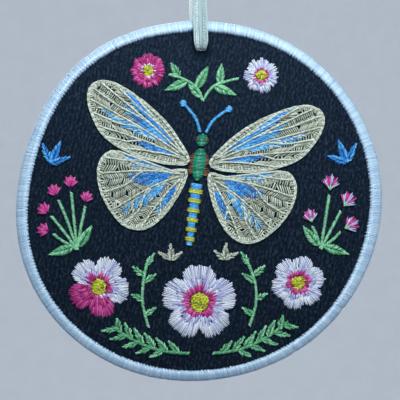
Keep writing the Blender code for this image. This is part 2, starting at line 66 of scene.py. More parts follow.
# %% [markdown]
# ## Millimetres and places
# A sewing pattern is drawn in millimetres from the middle of the cloth, and Blender counts in
# metres from the scene's origin, which here is the inside top of the hanging loop. All sizes
# below are in millimetres. A pattern point is (across, up), and a point in space is
# (across, depth, up), with negative depth in front of the cloth. One function turns them to
# metres at the very end, so no other line has to think about it.

# %% From millimetres to the scene
MM = 0.001
LOOP_TOP = 107.35           # inside top of the loop, above the disc's centre
TOWARDS_VIEWER = (0.0, -1.0, 0.0)


def in_metres(points):
    """Points in mm from the disc's centre, as metres from the scene's origin."""
    return (np.asarray(points, float) - (0.0, 0.0, LOOP_TOP)) * MM


print("disc centre in the scene:", in_metres((0, 0, 0)))

# %% [markdown]
# ## The camera
# The photograph looks squarely at the disc from arm's length. The lens follows from the width
# that the frame takes in at the disc: 121 mm. The disc's centre is a little left of the middle
# and below it.

# %% Camera
SENSOR_WIDTH = 36.0
FRAME_WIDTH = 121.08
CAMERA_AWAY = 450.0
DISC_LEFT_OF_MIDDLE = 0.69
DISC_BELOW_MIDDLE = 0.39

camera_data = bpy.data.cameras.new("camera")
camera_data.sensor_width = SENSOR_WIDTH
camera_data.lens = SENSOR_WIDTH * CAMERA_AWAY / FRAME_WIDTH
camera = bpy.data.objects.new("camera", camera_data)
camera.location = in_metres((DISC_LEFT_OF_MIDDLE, -CAMERA_AWAY, DISC_BELOW_MIDDLE))
camera.rotation_euler = (math.radians(90), 0, 0)
bpy.context.scene.collection.objects.link(camera)
bpy.context.scene.camera = camera
bpy.context.scene.view_settings.view_transform = "Standard"
print(f"lens {camera_data.lens:.1f} mm")

# %% [markdown]
# ## Threads as meshes
# A thread could be a curve with a bevel, but thousands of curve objects are slow. Instead a
# skein gathers the rings of many six-sided tubes and makes one mesh of them. Each tube is
# flattened a little, as thread is where it is pulled tight over cloth. Its UV map holds how
# far round and how far along the thread a point is, so a material can draw the twist.

# %% A skein of threads
SIDES = 6


def unit(vectors):
    """Vectors, or one vector, made 1 long."""
    return vectors / np.maximum(np.linalg.norm(vectors, axis=-1, keepdims=True), 1e-9)


class Skein:
    """Threads laid for one piece, kept as arrays until they are made into one mesh."""

    def __init__(self):
        self.points = []
        self.faces = []
        self.uvs = []
        self.finishes = []
        self.count = 0

    def lay(self, path, outward, half_width, half_height, finish=0, closed=False):
        """Lay one thread along a path. Outward points away from what the thread lies on."""
        path = np.asarray(path, float)
        outward = np.broadcast_to(np.asarray(outward, float), path.shape)
        if closed:
            padded = np.concatenate([path[-1:], path, path[:1]])
        else:
            padded = np.concatenate([2 * path[:1] - path[1:2], path, 2 * path[-1:] - path[-2:-1]])
        along = unit(padded[2:] - padded[:-2])
        aside = unit(np.cross(along, outward))
        lifted = np.cross(aside, along)
        turn = np.arange(SIDES) * 2 * np.pi / SIDES
        wide = np.reshape(half_width, (-1, 1)) * np.cos(turn)
        high = np.reshape(half_height, (-1, 1)) * np.sin(turn)
        rings = path[:, None] + aside[:, None] * wide[..., None] + lifted[:, None] * high[..., None]

        steps = len(path) if closed else len(path) - 1
        ring, side = (grid.ravel() for grid in np.mgrid[0:steps, 0:SIDES])
        onward = (ring + 1) % len(path)
        beside = (side + 1) % SIDES
        faces = np.stack([ring * SIDES + side, onward * SIDES + side,
                          onward * SIDES + beside, ring * SIDES + beside], axis=1)
        lengths = np.linalg.norm(np.diff(padded[1:], axis=0), axis=1)[:steps]
        travelled = np.concatenate([[0], np.cumsum(lengths)])
        around = np.stack([side, side, side + 1, side + 1], axis=1) / SIDES
        distance = travelled[np.stack([ring, ring + 1, ring + 1, ring], axis=1)]
        uvs = np.stack([around, distance], axis=2).reshape(-1, 2)
        if not closed:
            # Two four-sided faces close each end of a six-sided tube.
            last = (len(path) - 1) * SIDES
            caps = np.array([(0, 1, 2, 3), (0, 3, 4, 5),
                             (last + 3, last + 2, last + 1, last), (last + 5, last + 4, last + 3, last)])
            faces = np.concatenate([faces, caps])
            uvs = np.concatenate([uvs, np.zeros((caps.size, 2))])
        self.points.append(rings.reshape(-1, 3))
        self.faces.append(faces + self.count)
        self.uvs.append(uvs)
        self.finishes.append(np.full(len(faces), finish, np.int32))
        self.count += rings.shape[0] * SIDES

    def make(self, name, materials, node, slot):
        """One mesh object of all the threads, standing for a solid of the frame."""
        mesh = bpy.data.meshes.new(name)
        faces = np.concatenate(self.faces)
        mesh.from_pydata(in_metres(np.concatenate(self.points)).tolist(), [], faces.tolist())
        for material in materials:
            mesh.materials.append(material)
        mesh.polygons.foreach_set("material_index", np.concatenate(self.finishes))
        layer = mesh.uv_layers.new(name="along_thread")
        layer.uv.foreach_set("vector", np.concatenate(self.uvs).ravel())
        mesh.shade_smooth()
        return add_piece(name, mesh, node)


print("threads have", SIDES, "sides")

# %% [markdown]
# ### From a mesh to a piece
# Each finished mesh stands for one solid of the plain model. It rides on the part's one body
# and takes that solid's place, so the dressed part comes apart the same way as the plain one.


def add_piece(name, mesh, node):
    """Put a finished mesh in the scene in place of a solid."""
    piece = bpy.data.objects.new(name, mesh)
    bpy.context.scene.collection.objects.link(piece)
    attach(piece, "root")
    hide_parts(node)
    print(f"{name}: {len(mesh.polygons)} faces")
    return piece


def sew_on(skein, name, threads, node, slot):
    """Make a skein into a piece that is sewn to the cloth."""
    skein.make(name, threads, node, slot)


# %% [markdown]
# ## Colours and nodes
# A dyer's colour card is read by eye, which is what sRGB hex values are made for. The renderer
# adds up light, which needs linear values, so one function does the change. Another adds a
# node with its settings and its links, and every material below is written with it.

# %% Helpers for materials
def linear(hex_colour):
    """An sRGB hex value, such as "a0c4e8", as the linear colour with alpha that sockets take."""
    shares = [int(hex_colour[start:start + 2], 16) / 255 for start in (0, 2, 4)]
    return (*(s / 12.92 if s <= 0.04045 else ((s + 0.055) / 1.055) ** 2.4 for s in shares), 1.0)


def add_node(tree, kind, values=None, links=None, **settings):
    """Add a node: settings are its own, values and links go to its input sockets."""
    node = tree.nodes.new(kind)
    for name, setting in settings.items():
        setattr(node, name, setting)
    for socket, value in (values or {}).items():
        node.inputs[socket].default_value = value
    for socket, source in (links or {}).items():
        tree.links.new(source, node.inputs[socket])
    return node


def new_material(name):
    """An empty material with an output node, and its node tree."""
    material = bpy.data.materials.new(name)
    material.use_nodes = True
    tree = material.node_tree
    tree.nodes.clear()
    return material, tree, add_node(tree, "ShaderNodeOutputMaterial")


print("middle grey, linear:", [round(share, 3) for share in linear("808080")])

# %% [markdown]
# ## Smooth lines
# A pattern maker marks a few points and draws a fair curve through them. A cubic spline of this
# kind does the same: it passes through every point, and its direction there follows the
# neighbours. Blender's own curves could do it too, but here only the points are needed.

# %% Curves through a few points
def spline_point(before, start, end, after, share):
    """A point on the smooth curve through four neighbours, between start and end."""
    square = share * share
    cube = square * share
    return tuple(
        0.5 * (2 * b + (c - a) * share + (2 * a - 5 * b + 4 * c - d) * square
               + (3 * b - a - 3 * c + d) * cube)
        for a, b, c, d in zip(before, start, end, after)
    )


def smooth_closed(points, steps):
    """The smooth closed curve through the points, with so many steps between each two."""
    count = len(points)
    curve = []
    for index in range(count):
        four = [points[(index + shift) % count] for shift in (-1, 0, 1, 2)]
        curve += [spline_point(*four, step / steps) for step in range(steps)]
    return np.array(curve)


def smooth_open(points, steps):
    """The smooth curve from the first point to the last."""
    padded = [points[0], *points, points[-1]]
    curve = []
    for index in range(len(points) - 1):
        four = padded[index:index + 4]
        curve += [spline_point(*four, step / steps) for step in range(steps)]
    return np.array([*curve, points[-1]])


class Line:
    """A line that can be asked for the place and the direction at any distance along it."""

    def __init__(self, points):
        self.points = np.asarray(points, float)
        gaps = np.linalg.norm(np.diff(self.points, axis=0), axis=1)
        self.travelled = np.concatenate([[0], np.cumsum(gaps)])
        self.length = self.travelled[-1]

    def at(self, distance):
        """The place on the line at a distance from its start."""
        return np.array([np.interp(distance, self.travelled, column) for column in self.points.T])

    def direction(self, distance):
        """The direction there, taken between two places a little before and after."""
        reach = self.length / 400
        return unit(self.at(distance + reach) - self.at(distance - reach))


print("half way between two points:", spline_point((0, 0), (1, 0), (2, 0), (3, 0), 0.5))

# %% [markdown]
# ## The cord
# The hanger is a flat knitted cord, about 130 mm long and closed into a loop through the slot.
# It is 4.2 mm wide at the border and drawn to 3.6 mm higher up. On its face two columns of small
# V-shaped loops run beside a smooth middle, and a straight edge thread closes each side. A plain
# ribbon with a knit picture would have a straight outline, so here a flat core is covered by the
# loops as real threads, front and back. The route goes up in front of the border, over the top
# and down behind the disc.

# %% The cord's route
CORD_WIDTH = 4.2
CORD_DRAWN = 3.6            # its width higher up, where the weight stretches it
CORD_SQUEEZED = 3.0         # its width where it folds into the slot
CORD_CUP = 0.5              # how far its edges fold back there
SLOT_CENTRE = (1.0, 46.4)

CORD_ROUTE = (
    (1.0, 0.0, 46.4),
    (1.0, -1.41, 46.9),
    (1.0, -2.0, 48.1),
    (0.95, -2.3, 50.2),
    (0.85, -2.5, 52.7),
    (0.8, -2.5, 55.0),
    (0.75, -2.45, 58.5),
    (0.68, -2.4, 63.0),
    (0.5, -2.3, 75.0),
    (0.35, -2.4, 89.0),
    (0.2, -2.8, 99.0),
    (0.1, -3.0, 104.5),
    (0.05, -2.15, 107.1),
    (0.0, 0.0, 108.0),
    (0.0, 2.15, 107.1),
    (0.0, 3.0, 104.5),
    (-0.2, 2.8, 99.0),
    (-0.4, 2.4, 89.0),
    (-0.6, 2.3, 75.0),
    (-0.7, 2.4, 63.0),
    (-0.65, 2.45, 58.5),
    (-0.3, 2.5, 55.0),
    (0.3, 2.5, 52.7),
    (0.7, 2.3, 50.2),
    (1.0, 2.0, 48.1),
    (1.0, 1.41, 46.9),
)
ROUTE_STEPS = 6
cord_points = smooth_closed(CORD_ROUTE, ROUTE_STEPS)
cord_line = Line(np.concatenate([cord_points, cord_points[:1]]))
print(f"the cord's loop is {cord_line.length:.1f} mm long")

# %% [markdown]
# ### Knitted cotton-polyester yarn
# The cord is off-white yarn of fine matt fibres, so it scatters light softly and shines little:
# rough, an IOR near 1.55 as for most fibres, and some sheen from the fuzz. Its colour differs a
# little from loop to loop, and fine noise stands for the fibres, about 0.15 mm across, drawn
# some ten times coarser than they are. It is one yarn, but four tones of it are used: one for
# most of the cord, a brighter one with painted light for the edges and the right column of the
# strand in front, a darker one with painted shade for the core, which lies in shade, and a paler
# one with stronger painted light for the strand behind, which peeps out at the left and catches
# the most light.

# %% Yarn material
FIBRE = 0.15                # size of the fibres' noise


def yarn_material(name, shade, light):
    """Matt knitted yarn: two tones from loop to loop, with fibre noise in colour and bump."""
    material, tree, output = new_material(name)
    place = add_node(tree, "ShaderNodeTexCoord")
    loops = add_node(tree, "ShaderNodeNewGeometry")
    fibre = add_node(tree, "ShaderNodeTexNoise", {"Scale": 1 / (FIBRE * MM), "Detail": 3.0},
                     {"Vector": place.outputs["Object"]})
    tone = add_node(tree, "ShaderNodeMath", {1: 0.5}, {0: loops.outputs["Random Per Island"],
                    2: fibre.outputs["Fac"]}, operation="MULTIPLY_ADD")
    colour = add_node(tree, "ShaderNodeValToRGB", links={"Fac": tone.outputs[0]})
    colour.color_ramp.elements[0].position = 0.3
    colour.color_ramp.elements[0].color = linear(shade)
    colour.color_ramp.elements[1].position = 0.95
    colour.color_ramp.elements[1].color = linear(light)
    bump = add_node(tree, "ShaderNodeBump", {"Strength": 0.5, "Distance": 0.05 * MM},
                    {"Height": fibre.outputs["Fac"]})
    shader = add_node(tree, "ShaderNodeBsdfPrincipled",
                      {"Roughness": 0.75, "IOR": 1.55, "Sheen Weight": 0.3, "Sheen Roughness": 0.5,
                       "Specular IOR Level": 0.3},
                      {"Base Color": colour.outputs["Color"], "Normal": bump.outputs["Normal"]})
    tree.links.new(shader.outputs["BSDF"], output.inputs["Surface"])
    return material


# The last three are the same yarn with painted light, painted shade and stronger painted light.
BODY, PAINTED_LIGHT, PAINTED_SHADE, PAINTED_STRONG_LIGHT = range(4)
YARNS = (
    yarn_material("knitted_yarn_pale", "8dabb1", "afc9cd"),
    yarn_material("knitted_yarn_painted_light", "9fbdc3", "cde2e5"),
    yarn_material("knitted_yarn_painted_shade", "7a9599", "9fb9bd"),
    yarn_material("knitted_yarn_painted_strong_light", "e2f2f4", "f6ffff"),
)
print("yarns:", [yarn.name for yarn in YARNS])

# %% [markdown]
# ### Places on the cord
# Everything on the cord is placed by three numbers: how far along it, how far aside and how far
# out from its middle. One function turns them into a point. It also makes the cord narrower
# where its own weight draws it thin, and where it folds into the slot and its edges bend back.

# %% Places on the cord
FULL_UP_TO = 54.0           # up to this height the cord has its full width,
DRAWN_FROM = 60.5           # and from this one it is drawn thin
OPENS_OVER = 2.0            # how far above the slot's middle the fold has opened
OPENING_CURVE = 0.7
END_CLEAR = 0.1             # keeps a direction from being asked at the very ends of the line


def across_cord(distance, aside, out):
    """A point on the cord, so far along, beside and out from its middle, with the way out and
    the share of its full width that the cord has there."""
    here = cord_line.at(distance % cord_line.length)
    asked = np.clip(distance % cord_line.length, END_CLEAR, cord_line.length - END_CLEAR)
    along = cord_line.direction(asked)
    sideways = unit(np.array((1.0, 0.0, 0.0)) - along * along[0])
    outward = np.cross(along, sideways)
    opened = min(1.0, max(0.0, (here[2] - SLOT_CENTRE[1]) / OPENS_OVER)) ** OPENING_CURVE
    full = np.interp(here[2], (FULL_UP_TO, DRAWN_FROM), (CORD_WIDTH, CORD_DRAWN))
    narrow = (CORD_SQUEEZED + (full - CORD_SQUEEZED) * opened) / CORD_WIDTH
    folded = CORD_CUP * (1 - opened) * (2 * aside / CORD_WIDTH) ** 2
    return here + sideways * aside * narrow + outward * (out - folded), outward, narrow


print("the cord crosses the slot at", across_cord(0.0, 0.0, 0.0)[0])

# %% [markdown]
# ### Straight threads and V-shaped loops
# The core and the smooth middle are threads that run all the way round, and each edge is two
# threads that run half way, because its painted light changes at the top: painted light in
# front, stronger painted light behind. Each V of the knit is two legs that come up from under the
# V before, rise, and close towards their foot, so four points a leg are enough.

# %% Threads of the cord
CORD_STEPS = 150            # rings of a thread that runs all the way round
LOOP_REACH = 1.25           # how far along the cord one leg of a V goes
LEG_HALF_WIDTH = 0.26
LEG_HALF_HEIGHT = 0.16
LEG_RISE = ((0, 0.42), (0.3, 0.66), (0.65, 0.7), (1, 0.4))  # share of its reach, height out


def lay_along_cord(skein, aside, out, half_width, half_height, finish, part=(0.0, 1.0)):
    """A straight thread all the way round the loop, or along a part of it."""
    whole = part == (0.0, 1.0)
    distances = np.linspace(*part, CORD_STEPS, endpoint=not whole) * cord_line.length
    rows = [across_cord(distance, aside, out) for distance in distances]
    path = np.array([row[0] for row in rows])
    outward = np.array([row[1] for row in rows]) * (1 if out >= 0 else -1)
    narrow = np.array([row[2] for row in rows])
    skein.lay(path, outward, half_width * narrow, half_height, finish, closed=whole)


def knit_leg(skein, distance, start_aside, end_aside, face, finish):
    """One leg of a loop, which rises from under the loop before it."""
    path = []
    for share, out in LEG_RISE:
        aside = start_aside + (end_aside - start_aside) * share
        point, outward, _ = across_cord(distance + LOOP_REACH * share, aside, face * out)
        path.append(point)
    skein.lay(path, outward * face, LEG_HALF_WIDTH, LEG_HALF_HEIGHT, finish)


print(f"a leg reaches {LOOP_REACH} mm along the cord")

# %% [markdown]
# ### Knitting it
# The same threads are laid on both faces. The strand that goes up in front is the first half of
# the loop, and the one behind is the second, whose edges and left column get the yarn with the
# strongest painted light.

# %% The cord, loop by loop
KNIT_PITCH = 0.9
COLUMNS = (-1.12, 1.12)     # middles of the two columns of V-shaped loops
LEG_SPREAD = 0.46           # from a V's middle to the open end of a leg
LEG_CLOSE = 0.1             # and to its foot
CORE_HALF_WIDTH = 1.9
CORE_HALF_THICK = 0.5
EDGE_INSET = 0.22
EDGE_HALF_WIDTH = 0.3
EDGE_HALF_HEIGHT = 0.42
FRONT_PART = (0.0, 0.5)
BACK_PART = (0.49, 1.0)     # starts a little early, so that no gap is left at the top
MIDDLE_THREADS = (-0.2, 0.22)
MIDDLE_OUT = 0.52
MIDDLE_HALF_WIDTH = 0.3
MIDDLE_HALF_HEIGHT = 0.2

cord_skein = Skein()
# The core, in shade between the two faces, takes the yarn with painted shade.
lay_along_cord(cord_skein, 0.0, 0.0, CORE_HALF_WIDTH, CORE_HALF_THICK, PAINTED_SHADE)
for edge in (-1, 1):
    # Edges: painted light on the strand in front, stronger painted light on the one behind.
    for part, finish in ((FRONT_PART, PAINTED_LIGHT), (BACK_PART, PAINTED_STRONG_LIGHT)):
        lay_along_cord(cord_skein, edge * (CORD_WIDTH / 2 - EDGE_INSET), 0.0,
                       EDGE_HALF_WIDTH, EDGE_HALF_HEIGHT, finish, part)
loops_in_cord = int(cord_line.length / KNIT_PITCH)
for face in (-1, 1):
    for aside in MIDDLE_THREADS:
        lay_along_cord(cord_skein, aside, face * MIDDLE_OUT, MIDDLE_HALF_WIDTH,
                       MIDDLE_HALF_HEIGHT, BODY)
    for number in range(loops_in_cord):
        distance = number * cord_line.length / loops_in_cord
        for column in COLUMNS:
            # One column of each face gets painted light; the left column of the strand behind gets
            # stronger painted light.
            finish = PAINTED_LIGHT if column * face > 0 else BODY
            if distance > cord_line.length / 2 and column < 0:
                finish = PAINTED_STRONG_LIGHT
            for side in (-1, 1):
                knit_leg(cord_skein, distance, column + side * LEG_SPREAD,
                         column + side * LEG_CLOSE, face, finish)
cord = cord_skein.make("knitted_cord", YARNS, "hanging_cord", "woven_cord")

# %% [markdown]
# ## The ground cloth
# The disc is black twill on a stiff backing, so it is nearly flat but not quite: the stitching
# draws it in here and there, and the cord pulls a small hollow round its slot. A cylinder
# would be too perfect. A fine net of triangles is laid over the outline, with the slot left
# out, and each point is moved by one depth function that the stitches use as well, so that they
# sit on the cloth wherever it goes.

# %% The uneven rim
DISC_RADIUS = 55.0
BORDER_WIDTH = 3.0
BORDER_WALL = 0.6           # thread beyond the cloth's edge
RIM_GAP = 0.3               # and the room between the two

# Each row adds a wave of so many lobes, so high, turned so far, to a mean circle.
Wave = namedtuple("Wave", "lobes height turn_deg")
OUTER_WAVES = (
    Wave(2, 0.66, 28),
    Wave(3, 0.41, -8),
    Wave(4, 0.29, 37),
    Wave(5, 0.15, -13),
    Wave(6, 0.13, 9),
)
INNER_WAVES = (
    Wave(2, 0.62, 37),
    Wave(3, 0.37, -7),
    Wave(4, 0.44, 37),
    Wave(5, 0.17, -14),
    Wave(6, 0.14, 10),
)


def rim_radius(mean, waves, angle):
    """The radius of an uneven circle in one direction."""
    return mean + sum(w.height * math.cos(w.lobes * (angle - math.radians(w.turn_deg))) for w in waves)


def outer_radius(angle):
    """The border's outer edge in one direction."""
    return rim_radius(DISC_RADIUS, OUTER_WAVES, angle)


def inner_radius(angle):
    """The border's inner edge in one direction."""
    return rim_radius(DISC_RADIUS - BORDER_WIDTH, INNER_WAVES, angle)


print(f"rim radius from {min(outer_radius(math.radians(d)) for d in range(360)):.2f} mm")

# %% [markdown]
# ### Swells and a hollow
# Two slow waves that cross each other stand for the swells, less than a tenth of a millimetre
# high each, and one smooth dip of 0.3 mm for the hollow that the cord pulls round its slot.

# %% The depth of the cloth
CLOTH_HALF = 0.7            # half its thickness with the backing
BROAD_SWELL = 0.09
SLANTING_SWELL = 0.05
HOLLOW_DEPTH = 0.3
HOLLOW_REACH_ACROSS = 3.2
HOLLOW_REACH_UP = 2.6


def cloth_wave(across, up):
    """How far the cloth stands behind its flat place: gentle swells and a hollow at the slot."""
    broad = BROAD_SWELL * np.sin(across / 15 + 0.6) * np.cos(up / 19)
    slanting = SLANTING_SWELL * np.sin((across + 1.4 * up) / 8)
    from_slot = ((across - SLOT_CENTRE[0]) / HOLLOW_REACH_ACROSS) ** 2
    from_slot = from_slot + ((up - SLOT_CENTRE[1]) / HOLLOW_REACH_UP) ** 2
    return broad + slanting + HOLLOW_DEPTH * np.exp(-from_slot)


print(f"the cloth lies {cloth_wave(*SLOT_CENTRE):.2f} mm back at the slot")

# %% [markdown]
# ### Black twill
# Twill is woven so that short floats of yarn step sideways from row to row, which makes ribs
# 1.2 mm apart. Real floats here are about 0.35 mm wide, close to a pixel of the render, so they
# are drawn as flecks 0.8 mm wide and 1.1 mm long, the grain that the eye picks out from arm's
# length. Polyester dyed black has almost no colour of its own. What shows is a weak satin shine
# tinted by the dye, so the disc is navy at the top, where it mirrors towards the window, and
# nearly black at the foot. The smooth tops of the floats shine more narrowly than the gaps. The
# gradient near the slot is painted shade: it darkens the cloth round the slot, where the cord drags on
# it.

# %% Twill material
FLOAT_WIDTH = 0.8
FLOAT_LENGTH = 1.1
TWILL_PITCH = 1.2
FLOAT_LEAN_DEG = -12
RIB_SHARE = 0.14            # of the ribs in the pattern; the rest is single floats
# Painted shade round the slot: a darker patch centred a little below it, and how far it reaches.
SHADED_BELOW_SLOT = 0.8     # middle of the shaded place, below the slot's
SHADED_REACH = (4.0, 5.0, 3.4)
WAVE_PERIOD = math.pi / 10  # one band of Blender's wave texture at scale 1


def twill_material():
    """Near-black woven cloth: upright, slightly leaning floats in bump, tone and shine, with painted
    shade round the slot.
    """
    material, tree, output = new_material("black_polyester_twill")
    place = add_node(tree, "ShaderNodeTexCoord")
    in_mm = add_node(tree, "ShaderNodeMapping", {"Scale": (1 / MM, 1 / MM, 1 / MM),
                     "Rotation": (0, math.radians(FLOAT_LEAN_DEG), 0)},
                     {"Vector": place.outputs["Object"]})
    ribs = add_node(tree, "ShaderNodeTexWave",
                    {"Scale": WAVE_PERIOD / TWILL_PITCH, "Distortion": 7.0, "Detail": 2.0,
                     "Detail Scale": 1.6}, {"Vector": in_mm.outputs[0]}, bands_direction="X")
    stretched = add_node(tree, "ShaderNodeMapping",
                         {"Scale": (1 / FLOAT_WIDTH, 1 / FLOAT_WIDTH, 1 / FLOAT_LENGTH)},
                         {"Vector": in_mm.outputs[0]})
    floats = add_node(tree, "ShaderNodeTexNoise", {"Scale": 1.0, "Detail": 2.0, "Roughness": 0.6},
                      {"Vector": stretched.outputs[0]})
    height = add_node(tree, "ShaderNodeMath", {1: RIB_SHARE},
                      {0: ribs.outputs["Fac"], 2: floats.outputs["Fac"]}, operation="MULTIPLY_ADD")
    # Painted shade: a spherical gradient darkens the cloth's tone round the slot.
    shaded_middle = in_metres((SLOT_CENTRE[0], 0, SLOT_CENTRE[1] - SHADED_BELOW_SLOT))
    around_slot = add_node(tree, "ShaderNodeMapping",
                           {"Location": tuple(shaded_middle),
                            "Scale": tuple(reach * MM for reach in SHADED_REACH)},
                           {"Vector": place.outputs["Object"]}, vector_type="TEXTURE")
    painted_shade_at_slot = add_node(tree, "ShaderNodeTexGradient", links={"Vector": around_slot.outputs[0]},
                      gradient_type="SPHERICAL")
    shaded = add_node(tree, "ShaderNodeMath", {1: -0.7},
                      {0: painted_shade_at_slot.outputs["Fac"], 2: height.outputs[0]}, operation="MULTIPLY_ADD")
    colour = add_node(tree, "ShaderNodeValToRGB", links={"Fac": shaded.outputs[0]})
    colour.color_ramp.elements[0].position = 0.42
    colour.color_ramp.elements[0].color = linear("000102")
    colour.color_ramp.elements[1].position = 0.78
    colour.color_ramp.elements[1].color = linear("262f3e")
    middle = colour.color_ramp.elements.new(0.6)
    middle.color = linear("0a111b")
    shine = add_node(tree, "ShaderNodeMapRange",
                     {"From Min": -0.2, "From Max": 0.9, "To Min": 0.95, "To Max": 0.36},
                     {"Value": shaded.outputs[0]})
    bump = add_node(tree, "ShaderNodeBump", {"Strength": 1.0, "Distance": 0.1 * MM},
                    {"Height": height.outputs[0]})
    shader = add_node(tree, "ShaderNodeBsdfPrincipled",
                      {"IOR": 1.55, "Specular IOR Level": 0.25, "Specular Tint": linear("90c4ff"),
                       "Sheen Weight": 0.01, "Sheen Roughness": 0.5},
                      {"Base Color": colour.outputs["Color"], "Roughness": shine.outputs["Result"],
                       "Normal": bump.outputs["Normal"]})
    tree.links.new(shader.outputs["BSDF"], output.inputs["Surface"])
    return material


black_twill = twill_material()
print("made", black_twill.name)

# %% [markdown]
# ### A net over the disc
# The net is drawn flat first: a rim, the slot's edge, and rows of points between them that are
# joined into triangles. The outline and the slot stay exact, and everywhere else the triangles
# are nearly equal, so the swells and the hollow come out smooth.

# %% The slot and the net
SLOT_HALF_WIDTH = 1.6
SLOT_HALF_HEIGHT = 0.85
SQUARENESS = 4              # 2 would make the slot an ellipse, a large number a rectangle
NET_PITCH = 1.3             # between the points of a row
ROW_SHARE = 0.866           # of the pitch from row to row, for even triangles
RIM_STEPS = 180
SLOT_STEPS = 24
CLEAR_OF_RIM = 0.7
CLEAR_OF_SLOT = 0.5
JOIN_WITHIN = 1e-5          # points nearer than this are one


def slot_point(angle):
    """A point on the slot's edge, a rectangle with well-rounded corners."""
    sides = abs(math.cos(angle)) ** SQUARENESS + abs(math.sin(angle)) ** SQUARENESS
    square = 1 / sides ** (1 / SQUARENESS)
    return (SLOT_CENTRE[0] + SLOT_HALF_WIDTH * square * math.cos(angle),
            SLOT_CENTRE[1] + SLOT_HALF_HEIGHT * square * math.sin(angle))


def in_slot(across, up, spare=0.0):
    """Whether a point lies in the slot, or within a spare margin round it."""
    wide = (across - SLOT_CENTRE[0]) / (SLOT_HALF_WIDTH + spare)
    high = (up - SLOT_CENTRE[1]) / (SLOT_HALF_HEIGHT + spare)
    return wide ** SQUARENESS + high ** SQUARENESS < 1


def cloth_edge(angle):
    """How far the cloth itself reaches under the border's threads."""
    return outer_radius(angle) - BORDER_WALL - RIM_GAP


def lay_net():
    """The net's points, flat, and its triangles as rows of three of them."""
    rim = []
    for step in range(RIM_STEPS):
        angle = 2 * math.pi * step / RIM_STEPS
        rim.append((cloth_edge(angle) * math.cos(angle), cloth_edge(angle) * math.sin(angle)))
    slot = [slot_point(2 * math.pi * step / SLOT_STEPS) for step in range(SLOT_STEPS)]
    inside = []
    rows = int(DISC_RADIUS / (NET_PITCH * ROW_SHARE)) + 1
    columns = int(DISC_RADIUS / NET_PITCH) + 1
    for row in range(-rows, rows + 1):
        for column in range(-columns, columns + 1):
            across = (column + 0.5 * (row % 2)) * NET_PITCH
            up = row * NET_PITCH * ROW_SHARE
            near_rim = math.hypot(across, up) > cloth_edge(math.atan2(up, across)) - CLEAR_OF_RIM
            if not near_rim and not in_slot(across, up, spare=CLEAR_OF_SLOT):
                inside.append((across, up))
    points = [Vector(point) for point in (*rim, *slot, *inside)]
    slot_edges = [(RIM_STEPS + i, RIM_STEPS + (i + 1) % SLOT_STEPS) for i in range(SLOT_STEPS)]
    flat, _, triangles, *_ = delaunay_2d_cdt(points, slot_edges, [list(range(RIM_STEPS))], 1, JOIN_WITHIN)
    kept = [t for t in triangles if not in_slot(*(sum((flat[i] for i in t), Vector((0, 0))) / 3))]
    return flat, kept


net_points, net_triangles = lay_net()
print(len(net_triangles), "triangles in the net")

# %% [markdown]
# ### Front, back and edges
# The flat net is used twice, for the front and for the back, and each point is moved by the
# depth function. Where an edge belongs to one triangle only it lies on the rim or on the slot,
# and there a small wall joins front and back.

# %% The twill disc
SHARP_ANGLE = 40            # degrees; the walls meet the faces in a crisp edge


def make_ground_cloth():
    """The cloth from its net, front and back, joined round the rim and the slot."""
    shape = bmesh.new()
    faces = []
    for depth in (-CLOTH_HALF, CLOTH_HALF):
        faces.append([shape.verts.new(in_metres((p.x, depth + cloth_wave(p.x, p.y), p.y)))
                      for p in net_points])
    front, back = faces
    sides = {}
    for triangle in net_triangles:
        shape.faces.new([front[i] for i in triangle])
        shape.faces.new([back[i] for i in reversed(triangle)])
        for start, end in zip(triangle, triangle[1:] + triangle[:1]):
            sides.setdefault(frozenset((start, end)), []).append((start, end))
    for start, end in (found[0] for found in sides.values() if len(found) == 1):
        shape.faces.new((front[end], front[start], back[start], back[end]))
    loose = [corner for corner in shape.verts if not corner.link_faces]
    bmesh.ops.delete(shape, geom=loose, context="VERTS")
    bmesh.ops.recalc_face_normals(shape, faces=shape.faces)
    mesh = bpy.data.meshes.new("twill_disc")
    shape.to_mesh(mesh)
    shape.free()
    mesh.shade_smooth()
    mesh.set_sharp_from_angle(angle=math.radians(SHARP_ANGLE))
    mesh.materials.append(black_twill)
    return add_piece("twill_disc", mesh, "ground_cloth")


ground = make_ground_cloth()

# %% [markdown]
# ### Shiny embroidery thread
# Machine embroidery is sewn in rayon or trilobal polyester thread: two plies of smooth bright
# filaments, loosely twisted, 0.4 mm wide where they lie flat. Smooth filaments give a clear but
# soft shine (roughness 0.36 to 0.48, IOR 1.53), and the shape of each stitch turns it into a
# bright line along its top. The border's threads lie side by side under tension, so they are
# smoother (0.3) and glossier. Dye and tension differ a little from stitch to stitch, which is
# what the random value of each mesh island is for. The twist shows as faint slanting grooves,
# 1.1 mm apart along the thread; that is about true to size. Its tone is painted: a painted
# highlight on the plies and painted shade in the grooves. The sides of each thread get painted
# shade as well, as where the next thread takes their light.

# %% Thread material
TWIST_PITCH = 1.1
# The twist's tone is painted: lighter on the plies, darker in the grooves between them.
TWIST_TONE = 0.12           # how much the twist darkens and lightens the dye
FILAMENT = 0.12             # size of the noise that varies the shine


